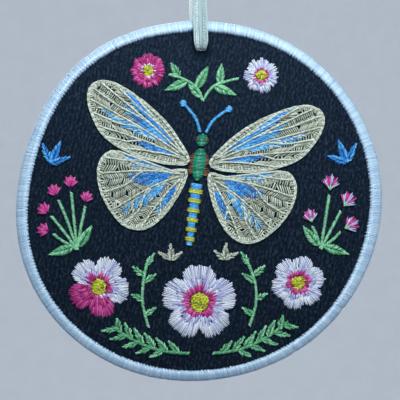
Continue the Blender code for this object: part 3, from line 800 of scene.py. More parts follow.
def thread_material(name, shade, light, roughness=0.42, gloss=0.5, painted_side_shade=0.6):
    """Two-ply satin thread: a tone for each stitch, with painted shade in the grooves of its twist
    and a painted highlight on its plies, and, by the share that painted_side_shade gives, painted
    shade down its sides, where the next thread takes its light."""
    material, tree, output = new_material(name)
    stitches = add_node(tree, "ShaderNodeNewGeometry")
    along = add_node(tree, "ShaderNodeUVMap", uv_map="along_thread")
    parts = add_node(tree, "ShaderNodeSeparateXYZ", links={"Vector": along.outputs["UV"]})
    travelled = add_node(tree, "ShaderNodeMath", {1: 2 * math.pi / TWIST_PITCH},
                         {0: parts.outputs["Y"]}, operation="MULTIPLY")
    turned_by = add_node(tree, "ShaderNodeMath", {1: 4 * math.pi},
                         {0: parts.outputs["X"], 2: travelled.outputs[0]}, operation="MULTIPLY_ADD")
    plies = add_node(tree, "ShaderNodeMath", links={0: turned_by.outputs[0]}, operation="SINE")
    # Painted highlight and shade of the twist, added to the tone of each stitch.
    tone = add_node(tree, "ShaderNodeMath", {1: TWIST_TONE},
                    {0: plies.outputs[0], 2: stitches.outputs["Random Per Island"]},
                    operation="MULTIPLY_ADD")
    dyed = add_node(tree, "ShaderNodeMix", {"A": linear(shade), "B": linear(light)},
                    {"Factor": tone.outputs[0]}, data_type="RGBA")
    # Painted shade: the thread is darker down its sides than on its top.
    round_by = add_node(tree, "ShaderNodeMath", {1: 2 * math.pi}, {0: parts.outputs["X"]},
                        operation="MULTIPLY")
    upward = add_node(tree, "ShaderNodeMath", links={0: round_by.outputs[0]}, operation="SINE")
    painted_side_shade_factor = add_node(tree, "ShaderNodeMapRange",
                             {"From Min": -0.2, "From Max": 0.9, "To Min": 1 - painted_side_shade, "To Max": 1.0},
                             {"Value": upward.outputs[0]})
    colour = add_node(tree, "ShaderNodeVectorMath",
                      links={"Vector": dyed.outputs["Result"], "Scale": painted_side_shade_factor.outputs["Result"]},
                      operation="SCALE")
    place = add_node(tree, "ShaderNodeTexCoord")
    filaments = add_node(tree, "ShaderNodeTexNoise", {"Scale": 1 / (FILAMENT * MM), "Detail": 1.0},
                         {"Vector": place.outputs["Object"]})
    shine = add_node(tree, "ShaderNodeMapRange",
                     {"To Min": roughness - 0.08, "To Max": roughness + 0.12},
                     {"Value": filaments.outputs["Fac"]})
    bump = add_node(tree, "ShaderNodeBump", {"Strength": 0.5, "Distance": 0.03 * MM},
                    {"Height": plies.outputs[0]})
    shader = add_node(tree, "ShaderNodeBsdfPrincipled",
                      {"IOR": 1.53, "Specular IOR Level": gloss, "Sheen Weight": 0.15,
                       "Sheen Roughness": 0.4},
                      {"Base Color": colour.outputs["Vector"], "Roughness": shine.outputs["Result"],
                       "Normal": bump.outputs["Normal"]})
    tree.links.new(shader.outputs["BSDF"], output.inputs["Surface"])
    return material


white_thread = thread_material("rayon_thread_ice_white", "a2c5e4", "c2dff5", 0.3, gloss=0.9,
                               painted_side_shade=0.1)
print("made", white_thread.name)

# %% [markdown]
# ## The border
# The rim of a patch is closed by satin stitching: the needle goes round and round the edge, so
# close that the cloth disappears. It stands up as a roll with fine ridges across it. Its crest
# is near the inner edge, where the thread dives steeply into the cloth, and outward it falls
# gently to the rim. Each ridge is laid as a thread from the front, over the rim and to the back.
# A smooth roll with a picture of ridges would be quicker, but its edges would be straight.

# %% A thread round the rim
# Share of the border's width from its inner edge, and depth in front of the middle plane.
BORDER_SECTION = (
    (-0.03, -0.6), (0.03, -1.14), (0.12, -1.43), (0.25, -1.53), (0.4, -1.45), (0.6, -1.22),
    (0.8, -0.91), (0.95, -0.52),
)
SLANT = 0.22                # how far a thread moves along the rim between front and back
SWELL_FORWARD = 0.5         # share of a swelling by which the thread also comes forward
FACING_ASIDE = 0.8          # below 1, the threads face more to the front than to the side


def border_path(angle, tooth, swell):
    """One thread's path round the rim, and the direction away from the border's core."""
    outer = outer_radius(angle) + swell
    inner = inner_radius(angle) - tooth
    front = [(inner + (outer - inner) * share, depth - swell * SWELL_FORWARD)
             for share, depth in BORDER_SECTION]
    section = [*front, (outer, 0.0), *((radius, -depth) for radius, depth in reversed(front))]
    middle = (inner + outer) / 2
    lean = np.linspace(-1, 1, len(section)) * SLANT / DISC_RADIUS
    path = []
    outward = []
    for (radius, depth), shift in zip(section, lean):
        cosine = math.cos(angle + shift)
        sine = math.sin(angle + shift)
        aside = (radius - middle) * FACING_ASIDE
        path.append((radius * cosine, depth, radius * sine))
        outward.append((aside * cosine, depth, aside * sine))
    return np.array(path), unit(np.array(outward))


print("a thread of the border has", 2 * len(BORDER_SECTION) + 1, "points")

# %% [markdown]
# ### Where it is uneven
# No border is quite even. Where the machine began and ended, left of the cord, the threads
# overlap and make a small lump. In three places a looser stitch leaves a nick, and beside the
# cord the border is narrower. Each of these fades out over a few degrees of the rim.

# %% Uneven places of the border
Nick = namedtuple("Nick", "angle_deg depth")
NICKS = (Nick(-36.6, 0.3), Nick(-57.3, 0.35), Nick(113.0, 0.3))
NICK_WIDTH_DEG = 0.7
JOIN_ANGLE_DEG = 93.4
JOIN_WIDTH_DEG = 2.2
JOIN_SWELL = 0.22
THIN_ANGLE_DEG = 91.2
THIN_WIDTH_DEG = 1.6
THINNED = 0.65              # the border is this much narrower where the cord rubs it


def near_angle(degrees, middle, width):
    """1 at one angle of the rim, fading to 0 within a few widths of it."""
    off = ((degrees - middle + 180) % 360 - 180) / width
    return math.exp(-off ** 2)


print(len(NICKS), "nicks, and a join at", JOIN_ANGLE_DEG, "degrees")

# %% [markdown]
# ### Wrapping the rim
# The border's inner edge is toothed, because every other thread reaches a little further. No two
# threads lie the same, so a random generator moves each by a few hundredths of a millimetre. Its
# seed is fixed, so every run sews the same cloth. A smooth core under the threads keeps the dark
# cloth from showing between them.

# %% The wrapped border
BORDER_PITCH = 0.52         # between threads along the rim
RIDGE_HALF_WIDTH = 0.33
RIDGE_HALF_HEIGHT = 0.17
TOOTH = 0.16
ALONG_SPREAD = 0.03         # chance in a thread's place along the rim,
SWELL_SPREAD = 0.02         # in how far out it runs,
TOOTH_SPREAD = 0.06         # in how far in it reaches,
HEIGHT_SPREAD = 0.01        # and in its thickness
UNDER_THREADS = 0.14        # the core lies this far inside the border's edges
UNDER_HALF_DEPTH = 1.14

needle = np.random.default_rng(24)
border_skein = Skein()
threads = int(2 * math.pi * DISC_RADIUS / BORDER_PITCH)
for number in range(threads):
    angle = 2 * math.pi * number / threads + needle.normal(0, ALONG_SPREAD) / DISC_RADIUS
    degrees = math.degrees(angle)
    swell = JOIN_SWELL * near_angle(degrees, JOIN_ANGLE_DEG, JOIN_WIDTH_DEG)
    swell += needle.normal(0, SWELL_SPREAD)
    for nick in NICKS:
        swell -= nick.depth * near_angle(degrees, nick.angle_deg, NICK_WIDTH_DEG)
    tooth = TOOTH * (number % 2) + needle.normal(0, TOOTH_SPREAD)
    tooth -= THINNED * near_angle(degrees, THIN_ANGLE_DEG, THIN_WIDTH_DEG)
    path, outward = border_path(angle, tooth, swell)
    border_skein.lay(path, outward, RIDGE_HALF_WIDTH,
                     RIDGE_HALF_HEIGHT + needle.normal(0, HEIGHT_SPREAD))
core = []
for step in range(RIM_STEPS):
    angle = 2 * math.pi * step / RIM_STEPS
    middle = (inner_radius(angle) + outer_radius(angle)) / 2
    core.append((middle * math.cos(angle), 0.0, middle * math.sin(angle)))
border_skein.lay(core, TOWARDS_VIEWER, BORDER_WIDTH / 2 - UNDER_THREADS, UNDER_HALF_DEPTH, closed=True)
sew_on(border_skein, "wrapped_border", [white_thread], "stitched_border", "satin_border")

# %% [markdown]
# ## One stitch
# The needle brings the thread up at one hole and takes it down at another. Between them it lies
# a little proud of the cloth, pulled flat at the ends. Five rings are enough for that bow. Each
# hole is moved a few hundredths of a millimetre by the same random generator.

# %% A stitch
THREAD_WIDTH = 0.44
THREAD_HEIGHT = 0.3
STITCH_SHARES = np.array((0.0, 0.13, 0.5, 0.87, 1.0))
STITCH_RISE = np.array((0.0, 0.8, 1.0, 0.8, 0.0))
STITCH_DIP = np.array((0.15, 0.0, 0.0, 0.0, 0.15))
HOLE_SPREAD = 0.045
LIFT_SPREAD = 0.03


def stitch(skein, start, end, lift, finish=0, width=THREAD_WIDTH):
    """One stitch between two holes, in mm, whose thread runs at a lift above the cloth."""
    start = np.asarray(start, float) + needle.normal(0, HOLE_SPREAD, 2)
    end = np.asarray(end, float) + needle.normal(0, HOLE_SPREAD, 2)
    lift = lift + needle.normal(0, LIFT_SPREAD)
    flat = start + (end - start) * STITCH_SHARES[:, None]
    depth = cloth_wave(flat[:, 0], flat[:, 1]) - CLOTH_HALF - lift * STITCH_RISE + STITCH_DIP
    path = np.stack([flat[:, 0], depth, flat[:, 1]], axis=1)
    skein.lay(path, TOWARDS_VIEWER, width / 2, THREAD_HEIGHT / 2, finish)


print(f"a stitch is {THREAD_WIDTH} mm wide and {THREAD_HEIGHT} mm high")

# %% [markdown]
# ### Rows of stitches
# Two rows come back in every motif. A running line puts stitches end to end, each starting just
# inside the one before, and a satin column lays slanting stitches side by side across a stem.

# %% Lines and columns
RUN_OVERLAP = 0.12          # share of a running stitch that lies inside the one before it
COLUMN_SLANT = 0.5


def sew_line(skein, points, lift, finish, length, width=THREAD_WIDTH):
    """A line of running stitches of about one length."""
    line = Line(points)
    count = max(1, round(line.length / length))
    for number in range(count):
        start = line.at(max(0.0, (number - RUN_OVERLAP) * line.length / count))
        end = line.at((number + 1) * line.length / count)
        stitch(skein, start, end, lift, finish, width)


def sew_column(skein, points, width, lift, finish=0, pitch=0.46):
    """Satin stitches across a narrow column, such as a stem, all leaning the same way."""
    line = Line(points)
    for number in range(max(2, int(line.length / pitch))):
        distance = (number + 0.5) * pitch
        along = line.direction(min(distance, line.length))
        aside = np.array((-along[1], along[0])) * width / 2
        here = line.at(min(distance, line.length))
        onward = along * COLUMN_SLANT / 2
        stitch(skein, here - aside - onward, here + aside + onward, lift, finish)


print(f"running stitches overlap by {RUN_OVERLAP:.0%} of their length")

# %% [markdown]
# ### The colour card
# Dye is never quite even along a cone of thread. So each thread has two close shades, and every
# stitch takes a tone between them.

# %% Threads by colour
THREADS = {
    "ecru": thread_material("rayon_thread_ecru", "949c8a", "b9c4b5", 0.48),
    "cream": thread_material("rayon_thread_cream", "b4c0af", "d8e5d8", 0.42),
    "sky": thread_material("rayon_thread_sky_blue", "2a96e8", "62c2fb", 0.38),
    "royal": thread_material("rayon_thread_royal_blue", "0c68c4", "2490e6", 0.38),
    "teal": thread_material("rayon_thread_teal", "0b7459", "22a884", 0.36),
    "green": thread_material("rayon_thread_leaf_green", "3a8e5c", "6ac490", painted_side_shade=0.8),
    "mint": thread_material("rayon_thread_mint", "66b888", "9ee6ba", painted_side_shade=0.8),
    "pink": thread_material("rayon_thread_pink", "c23c94", "e668b8", 0.38),
    "magenta": thread_material("rayon_thread_magenta", "970c62", "c42a8c", 0.38),
    "lilac": thread_material("rayon_thread_lilac", "9ea9de", "c4cef8", 0.38, painted_side_shade=0.75),
    "white": thread_material("rayon_thread_lilac_white", "c6d2f2", "eef5ff", 0.36, painted_side_shade=0.75),
    "yellow": thread_material("rayon_thread_yellow", "a6ae19", "dce340", 0.38),
    # Olive is used as painted shade among the seeds of the flowers' hearts.
    "olive": thread_material("rayon_thread_olive", "5a6010", "8a9022", 0.42),
    "brown": thread_material("rayon_thread_brown", "4e3220", "84583a", 0.46),
}


def pick_threads(*names):
    """The materials with these names; a stitch's finish is the place of its thread in the row."""
    return [THREADS[name] for name in names]


print(len(THREADS), "threads on the card")

# %% [markdown]
# ## The butterfly's wings
# Each wing is sewn in layers, as an embroiderer would: open slanted stitches fill it between the
# veins and let some black show, a comb of short stitches runs in from the edge, blue stitches
# shade it along the veins, and last come a doubled outline and the veins in a paler thread, on
# top of the rest. Each could be drawn by hand, but a rule that fills any outline is shorter.

# %% The wings' pattern
BUTTERFLY_CENTRE = (0.0, 8.0)
BUTTERFLY_TILT = -7.0       # degrees, counter-clockwise

FOREWING = (
    (3.5, 5.8), (11.5, 15.0), (21.5, 21.8), (30.0, 25.0), (35.2, 23.4), (36.0, 18.4),
    (33.2, 12.2), (29.0, 7.4), (20.0, 3.4), (10.0, 1.9), (3.6, 2.6),
)
HINDWING = (
    (3.5, 1.2), (10.0, 0.6), (19.5, 1.9), (26.4, 4.4), (30.2, 0.2), (29.4, -7.0),
    (25.6, -13.4), (20.2, -18.2), (14.2, -18.6), (9.2, -14.6), (5.6, -8.6), (3.4, -2.8),
)

# A blue patch lies in one cell between veins, from one share of its length to another, and
# covers so much of the cell's width. It is mostly of one thread with some of another mixed in.
Patch = namedtuple("Patch", "cell start end cover main mixed")
ECRU, CREAM, SKY, ROYAL = range(4)
FOREWING_PATCHES = (
    Patch(0, 0.20, 0.93, 0.62, ROYAL, SKY),
    Patch(1, 0.14, 0.66, 0.92, SKY, ROYAL),
    Patch(2, 0.26, 0.84, 0.50, SKY, CREAM),
    Patch(3, 0.12, 0.56, 0.74, ROYAL, SKY),
)
HINDWING_PATCHES = (
    Patch(0, 0.18, 0.76, 0.66, SKY, ROYAL),
    Patch(1, 0.12, 0.60, 0.80, ROYAL, SKY),
    Patch(2, 0.20, 0.86, 0.46, SKY, CREAM),
    Patch(3, 0.14, 0.64, 0.66, ROYAL, SKY),
)


def turned(across, up, degrees):
    """A 2-D point turned counter-clockwise about the origin."""
    angle = math.radians(degrees)
    return np.array((across * math.cos(angle) - up * math.sin(angle),
                     across * math.sin(angle) + up * math.cos(angle)))


def on_butterfly(across, up):
    """A point of the butterfly, from its own centre and upright, as a point of the disc."""
    return np.array(BUTTERFLY_CENTRE) + turned(across, up, BUTTERFLY_TILT)


print("the forewing's outline has", len(FOREWING), "points and the hindwing's", len(HINDWING))

# %% [markdown]
# ### Places on a wing
# A place is named by two numbers: a position round the outline, from 0 to 1, and a share of the
# way from the wing's root to that point. The way there bows, as a butterfly's veins do: it
# leaves the root along the leading edge and bends back.

# %% The wing and its places
class Wing:
    """A wing's outline and root, for one side, with the places that its stitches need."""

    STEPS = 12              # short lines between two points of the table
    BOW = 0.07              # how far ahead of its end a vein leaves the root
    ASIDE = 0.004           # the outline's direction is taken between so far before and after

    def __init__(self, table, root, side):
        self.rim = smooth_closed(table, self.STEPS)
        self.root = np.array(root)
        self.side = side

    def rim_at(self, position):
        """A point of the outline, from 0 to 1 round it, upright and on the right."""
        index = position % 1 * len(self.rim)
        before = self.rim[int(index) % len(self.rim)]
        after = self.rim[(int(index) + 1) % len(self.rim)]
        return before + (after - before) * (index % 1)

    def inward(self, position):
        """The direction into the wing, square to its outline."""
        ahead = self.rim_at(position + self.ASIDE) - self.rim_at(position - self.ASIDE)
        return unit(np.array((ahead[1], -ahead[0])))

    def out(self, point):
        """An upright right-hand point of the wing as a point of the disc."""
        return on_butterfly(self.side * point[0], point[1])

    def between(self, position, share):
        """A place on a vein, so far along the way from the root to the outline."""
        rim = self.rim_at(position - self.BOW * (1 - share) ** 1.5)
        return self.root + (rim - self.root) * share


def sew_between(skein, wing, start, end, lift, finish):
    """A stitch between two (position, share) places of a wing."""
    stitch(skein, wing.out(wing.between(*start)), wing.out(wing.between(*end)), lift, finish)


print("a wing is drawn with", Wing.STEPS, "steps between two points")

# %% [markdown]
# ### Open filling
# The lowest layer fills each cell between two veins with short slanted stitches in pale ecru,
# some of them cream. They lean one way in one row and the other way in the next, far enough
# apart to let black show. Where a row lies aslant to the way out, the next one starts further
# along, so the rows stay equally far apart.

# %% Filling a cell
FILL_PITCH = 0.6            # from one stitch to the next, on the way out
FILL_ROW = 1.9              # width of one row of slanted stitches
FILL_SLANT = 1.1
FILL_FROM = 0.1             # shares of the way out, where the rows begin,
FILL_TO = 0.95              # where the last one may lie,
FILL_WITHIN = 0.97          # and where its slant has to stop
CREAM_SHARE = 0.2
LEAST_SQUARE = 0.4          # keeps a very slanting row from being spread too far
LIFT_FILL = 0.32


def fill_cell(skein, wing, first, last, reach):
    """Rows of short slanted stitches that lean one way, then the other, between two veins."""
    share = FILL_FROM
    while share < FILL_TO:
        across = wing.between(last, share) - wing.between(first, share)
        width = np.linalg.norm(across)
        rows = max(1, round(width / FILL_ROW))
        for row in range(rows):
            lean = FILL_SLANT / reach * (1 if row % 2 else -1)
            start = first + (last - first) * row / rows
            end = first + (last - first) * (row + 1) / rows
            finish = CREAM if needle.random() < CREAM_SHARE else ECRU
            sew_between(skein, wing, (start, min(FILL_WITHIN, share - lean / 2)),
                        (end, min(FILL_WITHIN, share + lean / 2)), LIFT_FILL, finish)
        ahead = wing.between((first + last) / 2, share) - wing.root
        square = abs(across[0] * ahead[1] - across[1] * ahead[0]) / (width * np.linalg.norm(ahead))
        share += FILL_PITCH / (reach * max(LEAST_SQUARE, square))


print(f"filling rows lie {FILL_PITCH} mm apart")

# %% [markdown]
# ### The comb along the edge
# Four running lines follow the outline just inside it, and short stitches, most of them cream,
# cross them, so the edge looks like a comb. The teeth are longer on the leading edge, shorter
# towards the root, and a little uneven.

# %% The comb
COMB_ROWS = (0.9, 1.4, 1.9, 2.4)    # how far inside the outline the four lines run
COMB_ROW_STITCH = 2.2
COMB_ROW_POINTS = 70
COMB_PAST = 0.04            # how far the lines run past the outer veins
COMB_PITCH = 0.8
COMB_LEADING = 2.9
COMB_TRAILING = 2.0
COMB_INSET = 0.3
COMB_RAGGED = (0.85, 1.1)
ECRU_EVERY = 3              # one tooth in so many is ecru, the others are cream
COMB_AT_MOST = 0.45         # share of the way to the root that a tooth may take
ROOT_CLEAR = 2.2            # no teeth nearer to the root than this
LIFT_COMB_ROWS = LIFT_FILL - 0.03
LIFT_COMB = 0.46


def comb_edge(skein, wing, first_vein, last_vein):
    """Running stitches along the outline, and short ones across them that form a comb."""
    for inset in COMB_ROWS:
        points = []
        for position in np.linspace(last_vein - 1 - COMB_PAST, first_vein + COMB_PAST, COMB_ROW_POINTS):
            points.append(wing.out(wing.rim_at(position) + wing.inward(position) * inset))
        sew_line(skein, points, LIFT_COMB_ROWS, ECRU, COMB_ROW_STITCH)
    outline = Line(np.concatenate([wing.rim, wing.rim[:1]]))
    count = int(outline.length / COMB_PITCH)
    for number in range(count):
        position = (number + 0.5) / count
        distance_in = np.linalg.norm(wing.rim_at(position) - wing.root)
        if distance_in < ROOT_CLEAR:
            continue
        length = COMB_LEADING if position < first_vein else COMB_TRAILING
        length = min(length, COMB_AT_MOST * distance_in) * needle.uniform(*COMB_RAGGED)
        start = wing.rim_at(position) + wing.inward(position) * COMB_INSET
        end = wing.rim_at(position + wing.ASIDE) + wing.inward(position) * length
        stitch(skein, wing.out(start), wing.out(end), LIFT_COMB,
               CREAM if number % ECRU_EVERY else ECRU)


print(f"comb teeth lie {COMB_PITCH} mm apart")

# %% [markdown]
# ### Blue shading
# Blue stitches are laid along one vein of a cell in staggered rows, side by side and end over
# end. Rows further from the vein start later and stop earlier, so the patch narrows towards both
# ends, and some stitches of a second thread soften its tone.

# %% Shading a cell
PATCH_PITCH = 0.42
PATCH_STITCH = 1.9
PATCH_CLEAR = 0.08          # share of the cell's width between the vein and the first row
PATCH_TAPER = 0.5
PATCH_LATER = 0.4           # share of the taper that falls on the start
PATCH_RAGGED = (0.8, 1.15)
PATCH_SPREAD = 0.03
PATCH_DRIFT = 0.07          # a stitch's far end lies so far aside, in shares of the cell
PATCH_WITHIN = 0.95
PATCH_OVERLAP = 0.25
MAIN_SHARE = 0.7
LIFT_PATCH = 0.54


def shade_patch(skein, wing, patch, first, last, reach):
    """Blue stitches laid along a vein in staggered rows, with uneven ends."""
    middle = (patch.start + patch.end) / 2
    width = patch.cover * np.linalg.norm(wing.between(first, middle) - wing.between(last, middle))
    rows = max(2, round(width / PATCH_PITCH))
    for row in range(rows):
        aside = PATCH_CLEAR + patch.cover * (row + 0.5) / rows
        shorter = PATCH_TAPER * (row / rows) ** 1.5 * (patch.end - patch.start)
        share = patch.start + shorter * PATCH_LATER + needle.uniform(0, PATCH_STITCH) / reach
        while share < patch.end - shorter:
            onward = share + PATCH_STITCH * needle.uniform(*PATCH_RAGGED) / reach
            here = first + (last - first) * (aside + needle.uniform(-PATCH_SPREAD, PATCH_SPREAD))
            there = first + (last - first) * (aside + PATCH_DRIFT)
            finish = patch.main if needle.random() < MAIN_SHARE else patch.mixed
            sew_between(skein, wing, (here, share), (there, min(PATCH_WITHIN, onward)),
                        LIFT_PATCH, finish)
            share = onward - PATCH_OVERLAP / reach


print(len(FOREWING_PATCHES) + len(HINDWING_PATCHES), "cells are shaded on each side")

# %% [markdown]
# ### Veins and outline
# The veins are running stitches with two threads in one needle, so they stand highest. Each vein
# but the last sends a branch into the cell beside it, which swings away smoothly. Two lines side
# by side close the outline.

# %% Veins and outline
VEINS = 5
VEIN_WIDTH = 0.6            # two threads in one needle
VEIN_STITCH = 1.6
VEIN_POINTS = 18
VEIN_SHARES = (0.08, 0.965)
BRANCH_SHARES = (0.42, 0.96)
SWING_OVER = 0.3            # share of the way over which a branch swings away
OUTLINE_INSETS = (0.24, 0.64)
OUTLINE_POINTS = 140
OUTLINE_WIDTH = 0.5
LIFT_VEIN = 0.78
LIFT_BRANCH = LIFT_VEIN - 0.1
LIFT_OUTLINE = LIFT_COMB + 0.18


def sew_vein(skein, wing, position, shares, lift, fork_from=None):
    """A line of running stitches along a vein, or along a branch that forks off one."""
    points = []
    for share in np.linspace(*shares, VEIN_POINTS):
        if fork_from is None:
            here = position
        else:
            away = min(1.0, (share - shares[0]) / SWING_OVER)
            here = fork_from + (position - fork_from) * away * away * (3 - 2 * away)
        points.append(wing.out(wing.between(here, share)))
    sew_line(skein, points, lift, CREAM, VEIN_STITCH, VEIN_WIDTH)


def outline_wing(skein, wing):
    """Two lines of running stitches side by side, just inside the outline."""
    for inset in OUTLINE_INSETS:
        points = []
        for position in np.linspace(0, 1, OUTLINE_POINTS, endpoint=False):
            points.append(wing.out(wing.rim_at(position) + wing.inward(position) * inset))
        sew_line(skein, [*points, points[0]], LIFT_OUTLINE, CREAM, VEIN_STITCH, OUTLINE_WIDTH)


print(VEINS, "veins a wing")

# %% [markdown]
# ### The four wings
# The layers go on from the bottom up. The left wings are the right ones mirrored, but each is
# sewn anew, so no stitch of one is a copy of the other's.

# %% The four wings
WingPlan = namedtuple("WingPlan", "name table root first_vein last_vein patches")
WINGS = (
    WingPlan("forewing", FOREWING, (3.6, 4.2), 0.20, 0.68, FOREWING_PATCHES),
    WingPlan("hindwing", HINDWING, (3.8, -0.6), 0.24, 0.78, HINDWING_PATCHES),
)


def sew_wing(plan, side, hand):
    """One wing from the bottom layer up."""
    wing = Wing(plan.table, plan.root, side)
    skein = Skein()
    veins = np.linspace(plan.first_vein, plan.last_vein, VEINS)
    reaches = [np.linalg.norm(wing.rim_at(position) - wing.root) for position in veins]
    for cell in range(VEINS - 1):
        fill_cell(skein, wing, veins[cell], veins[cell + 1], (reaches[cell] + reaches[cell + 1]) / 2)
    comb_edge(skein, wing, plan.first_vein, plan.last_vein)
    for patch in plan.patches:
        shade_patch(skein, wing, patch, veins[patch.cell], veins[patch.cell + 1], reaches[patch.cell])
    outline_wing(skein, wing)
    for number, position in enumerate(veins):
        sew_vein(skein, wing, position, VEIN_SHARES, LIFT_VEIN)
        if number < VEINS - 1:
            branch = (position + veins[number + 1]) / 2
            sew_vein(skein, wing, branch, BRANCH_SHARES, LIFT_BRANCH, fork_from=position)
    sew_on(skein, f"sewn_{plan.name}_{hand}", pick_threads("ecru", "cream", "sky", "royal"),
           f"{plan.name}_{hand}", "ecru_stitching")


for side, hand in ((1, "right"), (-1, "left")):
    for plan in WINGS:
        sew_wing(plan, side, hand)

# %% [markdown]
# ## Body, head and feelers
# The body is padded satin: rows of stitches straight across, pulled over an underlay so that
# they stand higher than the wings' filling. Thorax and head are ovals of teal rows, highest in the
# middle. Brown stitches tie the wings' roots to the thorax, reaching further where a wing is,
# and two brown stitches on the head are the eyes.

# %% Thorax and head
ROW_PITCH = 0.42
ROW_INSET = 0.2             # from the end of an oval or of the abdomen to its first row
ROW_LEAN = 0.12
EDGE_LIFT = 0.6             # share of its lift that a row at the oval's end has
Oval = namedtuple("Oval", "across up half_across half_up lift")
THORAX = Oval(0, 3.1, 2.2, 4.9, 1.0)
HEAD = Oval(0, 10.5, 1.85, 1.8, 0.95)
EYE_FROM = (1.0, 10.0)
EYE_TO = (1.5, 11.3)
EYE_LIFT = 1.05
TEAL, BROWN = range(2)
TIE_ROWS = (0.2, 6.2)       # the ties lie between these heights on the butterfly
TIE_FROM = 1.4
TIE_TO = 2.5
TIE_LONGER = 0.9            # at the wings' roots,
ROOTS_MIDDLE = 2.6          # which lie on both sides of this height,
ROOTS_APART = 1.6           # this far above and below it,
ROOTS_HALF = 0.9            # and are this wide
TIE_RAGGED = 0.2
TIE_SPREAD = 0.3
TIE_LIFT = 0.55


def sew_oval(skein, oval):
    """Rows straight across an upright oval of the butterfly, highest in the middle."""
    for up in np.arange(-oval.half_up + ROW_INSET, oval.half_up, ROW_PITCH):
        half = oval.half_across * math.sqrt(max(0.0, 1 - (up / oval.half_up) ** 2))
        lift = oval.lift * (EDGE_LIFT + (1 - EDGE_LIFT) * half / oval.half_across)
        stitch(skein, on_butterfly(oval.across - half, oval.up + up),
               on_butterfly(oval.across + half, oval.up + up + ROW_LEAN), lift, TEAL)


thorax = Skein()
for side in (1, -1):
    for up in np.arange(*TIE_ROWS, ROW_PITCH):
        from_root = (abs(up - ROOTS_MIDDLE) - ROOTS_APART) / ROOTS_HALF
        reach = TIE_TO + TIE_LONGER * math.exp(-from_root ** 2) + needle.uniform(-TIE_RAGGED, TIE_RAGGED)
        start = on_butterfly(side * TIE_FROM, up + needle.uniform(-TIE_SPREAD, TIE_SPREAD))
        end = on_butterfly(side * reach, up + needle.uniform(-TIE_SPREAD, TIE_SPREAD))
        stitch(thorax, start, end, TIE_LIFT, BROWN)
sew_oval(thorax, THORAX)
sew_on(thorax, "sewn_thorax", pick_threads("teal", "brown"), "thorax", "teal_stitching")

head = Skein()
sew_oval(head, HEAD)
for side in (1, -1):
    stitch(head, on_butterfly(side * EYE_FROM[0], EYE_FROM[1]),
           on_butterfly(side * EYE_TO[0], EYE_TO[1]), EYE_LIFT, BROWN)
sew_on(head, "sewn_head", pick_threads("teal", "brown"), "head", "teal_stitching")

# %% [markdown]
# ### The banded abdomen
# Blue rows run straight across the abdomen, shorter towards its tip. The yellow bars are a
# second layer over them, three rows each, a little wider and higher than the blue.

# %% The abdomen
BODY_BANDS = 6
BAND_ROWS = 3
BAND_ROW_PITCH = 0.38
BAND_WIDER = 0.38
BAND_DOWN = 0.68            # where in its length a band's yellow bar begins
BAND_LEAN = 0.12
ABDOMEN_TOP = -2.6
ABDOMEN_LENGTH = 17.5
ABDOMEN_PAST = 1.2          # the blue rows go on so far past the last band
ABDOMEN_HALF = 1.75
ABDOMEN_TAPER = 0.85        # narrower by this at the tip, on each side
ABDOMEN_PITCH = 0.4
ABDOMEN_LEAN = 0.2
ABDOMEN_LIFT = 0.66
BAND_LIFT = 0.92
BLUE, YELLOW = range(2)

abdomen = Skein()
band_length = ABDOMEN_LENGTH / BODY_BANDS
for down in np.arange(ROW_INSET, ABDOMEN_LENGTH + ABDOMEN_PAST, ABDOMEN_PITCH):
    half = ABDOMEN_HALF - ABDOMEN_TAPER * down / ABDOMEN_LENGTH
    stitch(abdomen, on_butterfly(-half, ABDOMEN_TOP - down),
           on_butterfly(half, ABDOMEN_TOP - down - ABDOMEN_LEAN), ABDOMEN_LIFT, BLUE)
for band in range(BODY_BANDS):
    half = ABDOMEN_HALF - ABDOMEN_TAPER * band / BODY_BANDS + BAND_WIDER
    for row in range(BAND_ROWS):
        up = ABDOMEN_TOP - (band + BAND_DOWN) * band_length - row * BAND_ROW_PITCH
        stitch(abdomen, on_butterfly(-half, up), on_butterfly(half, up - BAND_LEAN),
               BAND_LIFT, YELLOW)
sew_on(abdomen, "sewn_abdomen", pick_threads("sky", "yellow"), "abdomen", "blue_stitching")

# %% [markdown]
# ### The feelers
# Each feeler is a thin satin column that bends outward, and ends in a small oval knob of rows.

# %% The feelers
FEELER_POINTS = ((0.9, 12.9), (2.8, 17.0), (6.6, 20.6))     # the right one; the left is mirrored
FEELER_WIDTH = 0.75
FEELER_PITCH = 0.42
FEELER_STEPS = 6
FEELER_LIFT = 0.55
KNOB_CENTRE = (7.0, 20.9)
KNOB_HALF_WIDTH = 0.9
KNOB_HALF_HEIGHT = 0.95
KNOB_ROWS = (-0.75, 0.8)    # from the lowest row up, the end left out
KNOB_PITCH = 0.3
KNOB_LIFT = 0.6

for side, hand in ((1, "right"), (-1, "left")):
    feeler = Skein()
    points = smooth_open([(across * side, up) for across, up in FEELER_POINTS], FEELER_STEPS)
    sew_column(feeler, [on_butterfly(*point) for point in points], FEELER_WIDTH, FEELER_LIFT,
               pitch=FEELER_PITCH)
    for up in np.arange(*KNOB_ROWS, KNOB_PITCH):
        half = KNOB_HALF_WIDTH * math.sqrt(1 - (up / KNOB_HALF_HEIGHT) ** 2)
        stitch(feeler, on_butterfly(KNOB_CENTRE[0] * side - half, KNOB_CENTRE[1] + up),
               on_butterfly(KNOB_CENTRE[0] * side + half, KNOB_CENTRE[1] + up), KNOB_LIFT)
    sew_on(feeler, f"sewn_feeler_{hand}", pick_threads("sky"), f"feeler_{hand}", "blue_stitching")

# %% [markdown]
# ## Flowers
# Five flowers lie round the butterfly. Each is a row of one table: where it is, how large, how
# many petals, how deep the notch between two of them, and which petals are pink. A flower's
# outline is one rule, a circle that is drawn in between the petals.

# %% The flowers' pattern
# Radius and heart, the radius of the middle, in mm; notch in shares of the flower's radius.
Flower = namedtuple("Flower", "name across up radius petals turn_deg notch heart pink_petals")
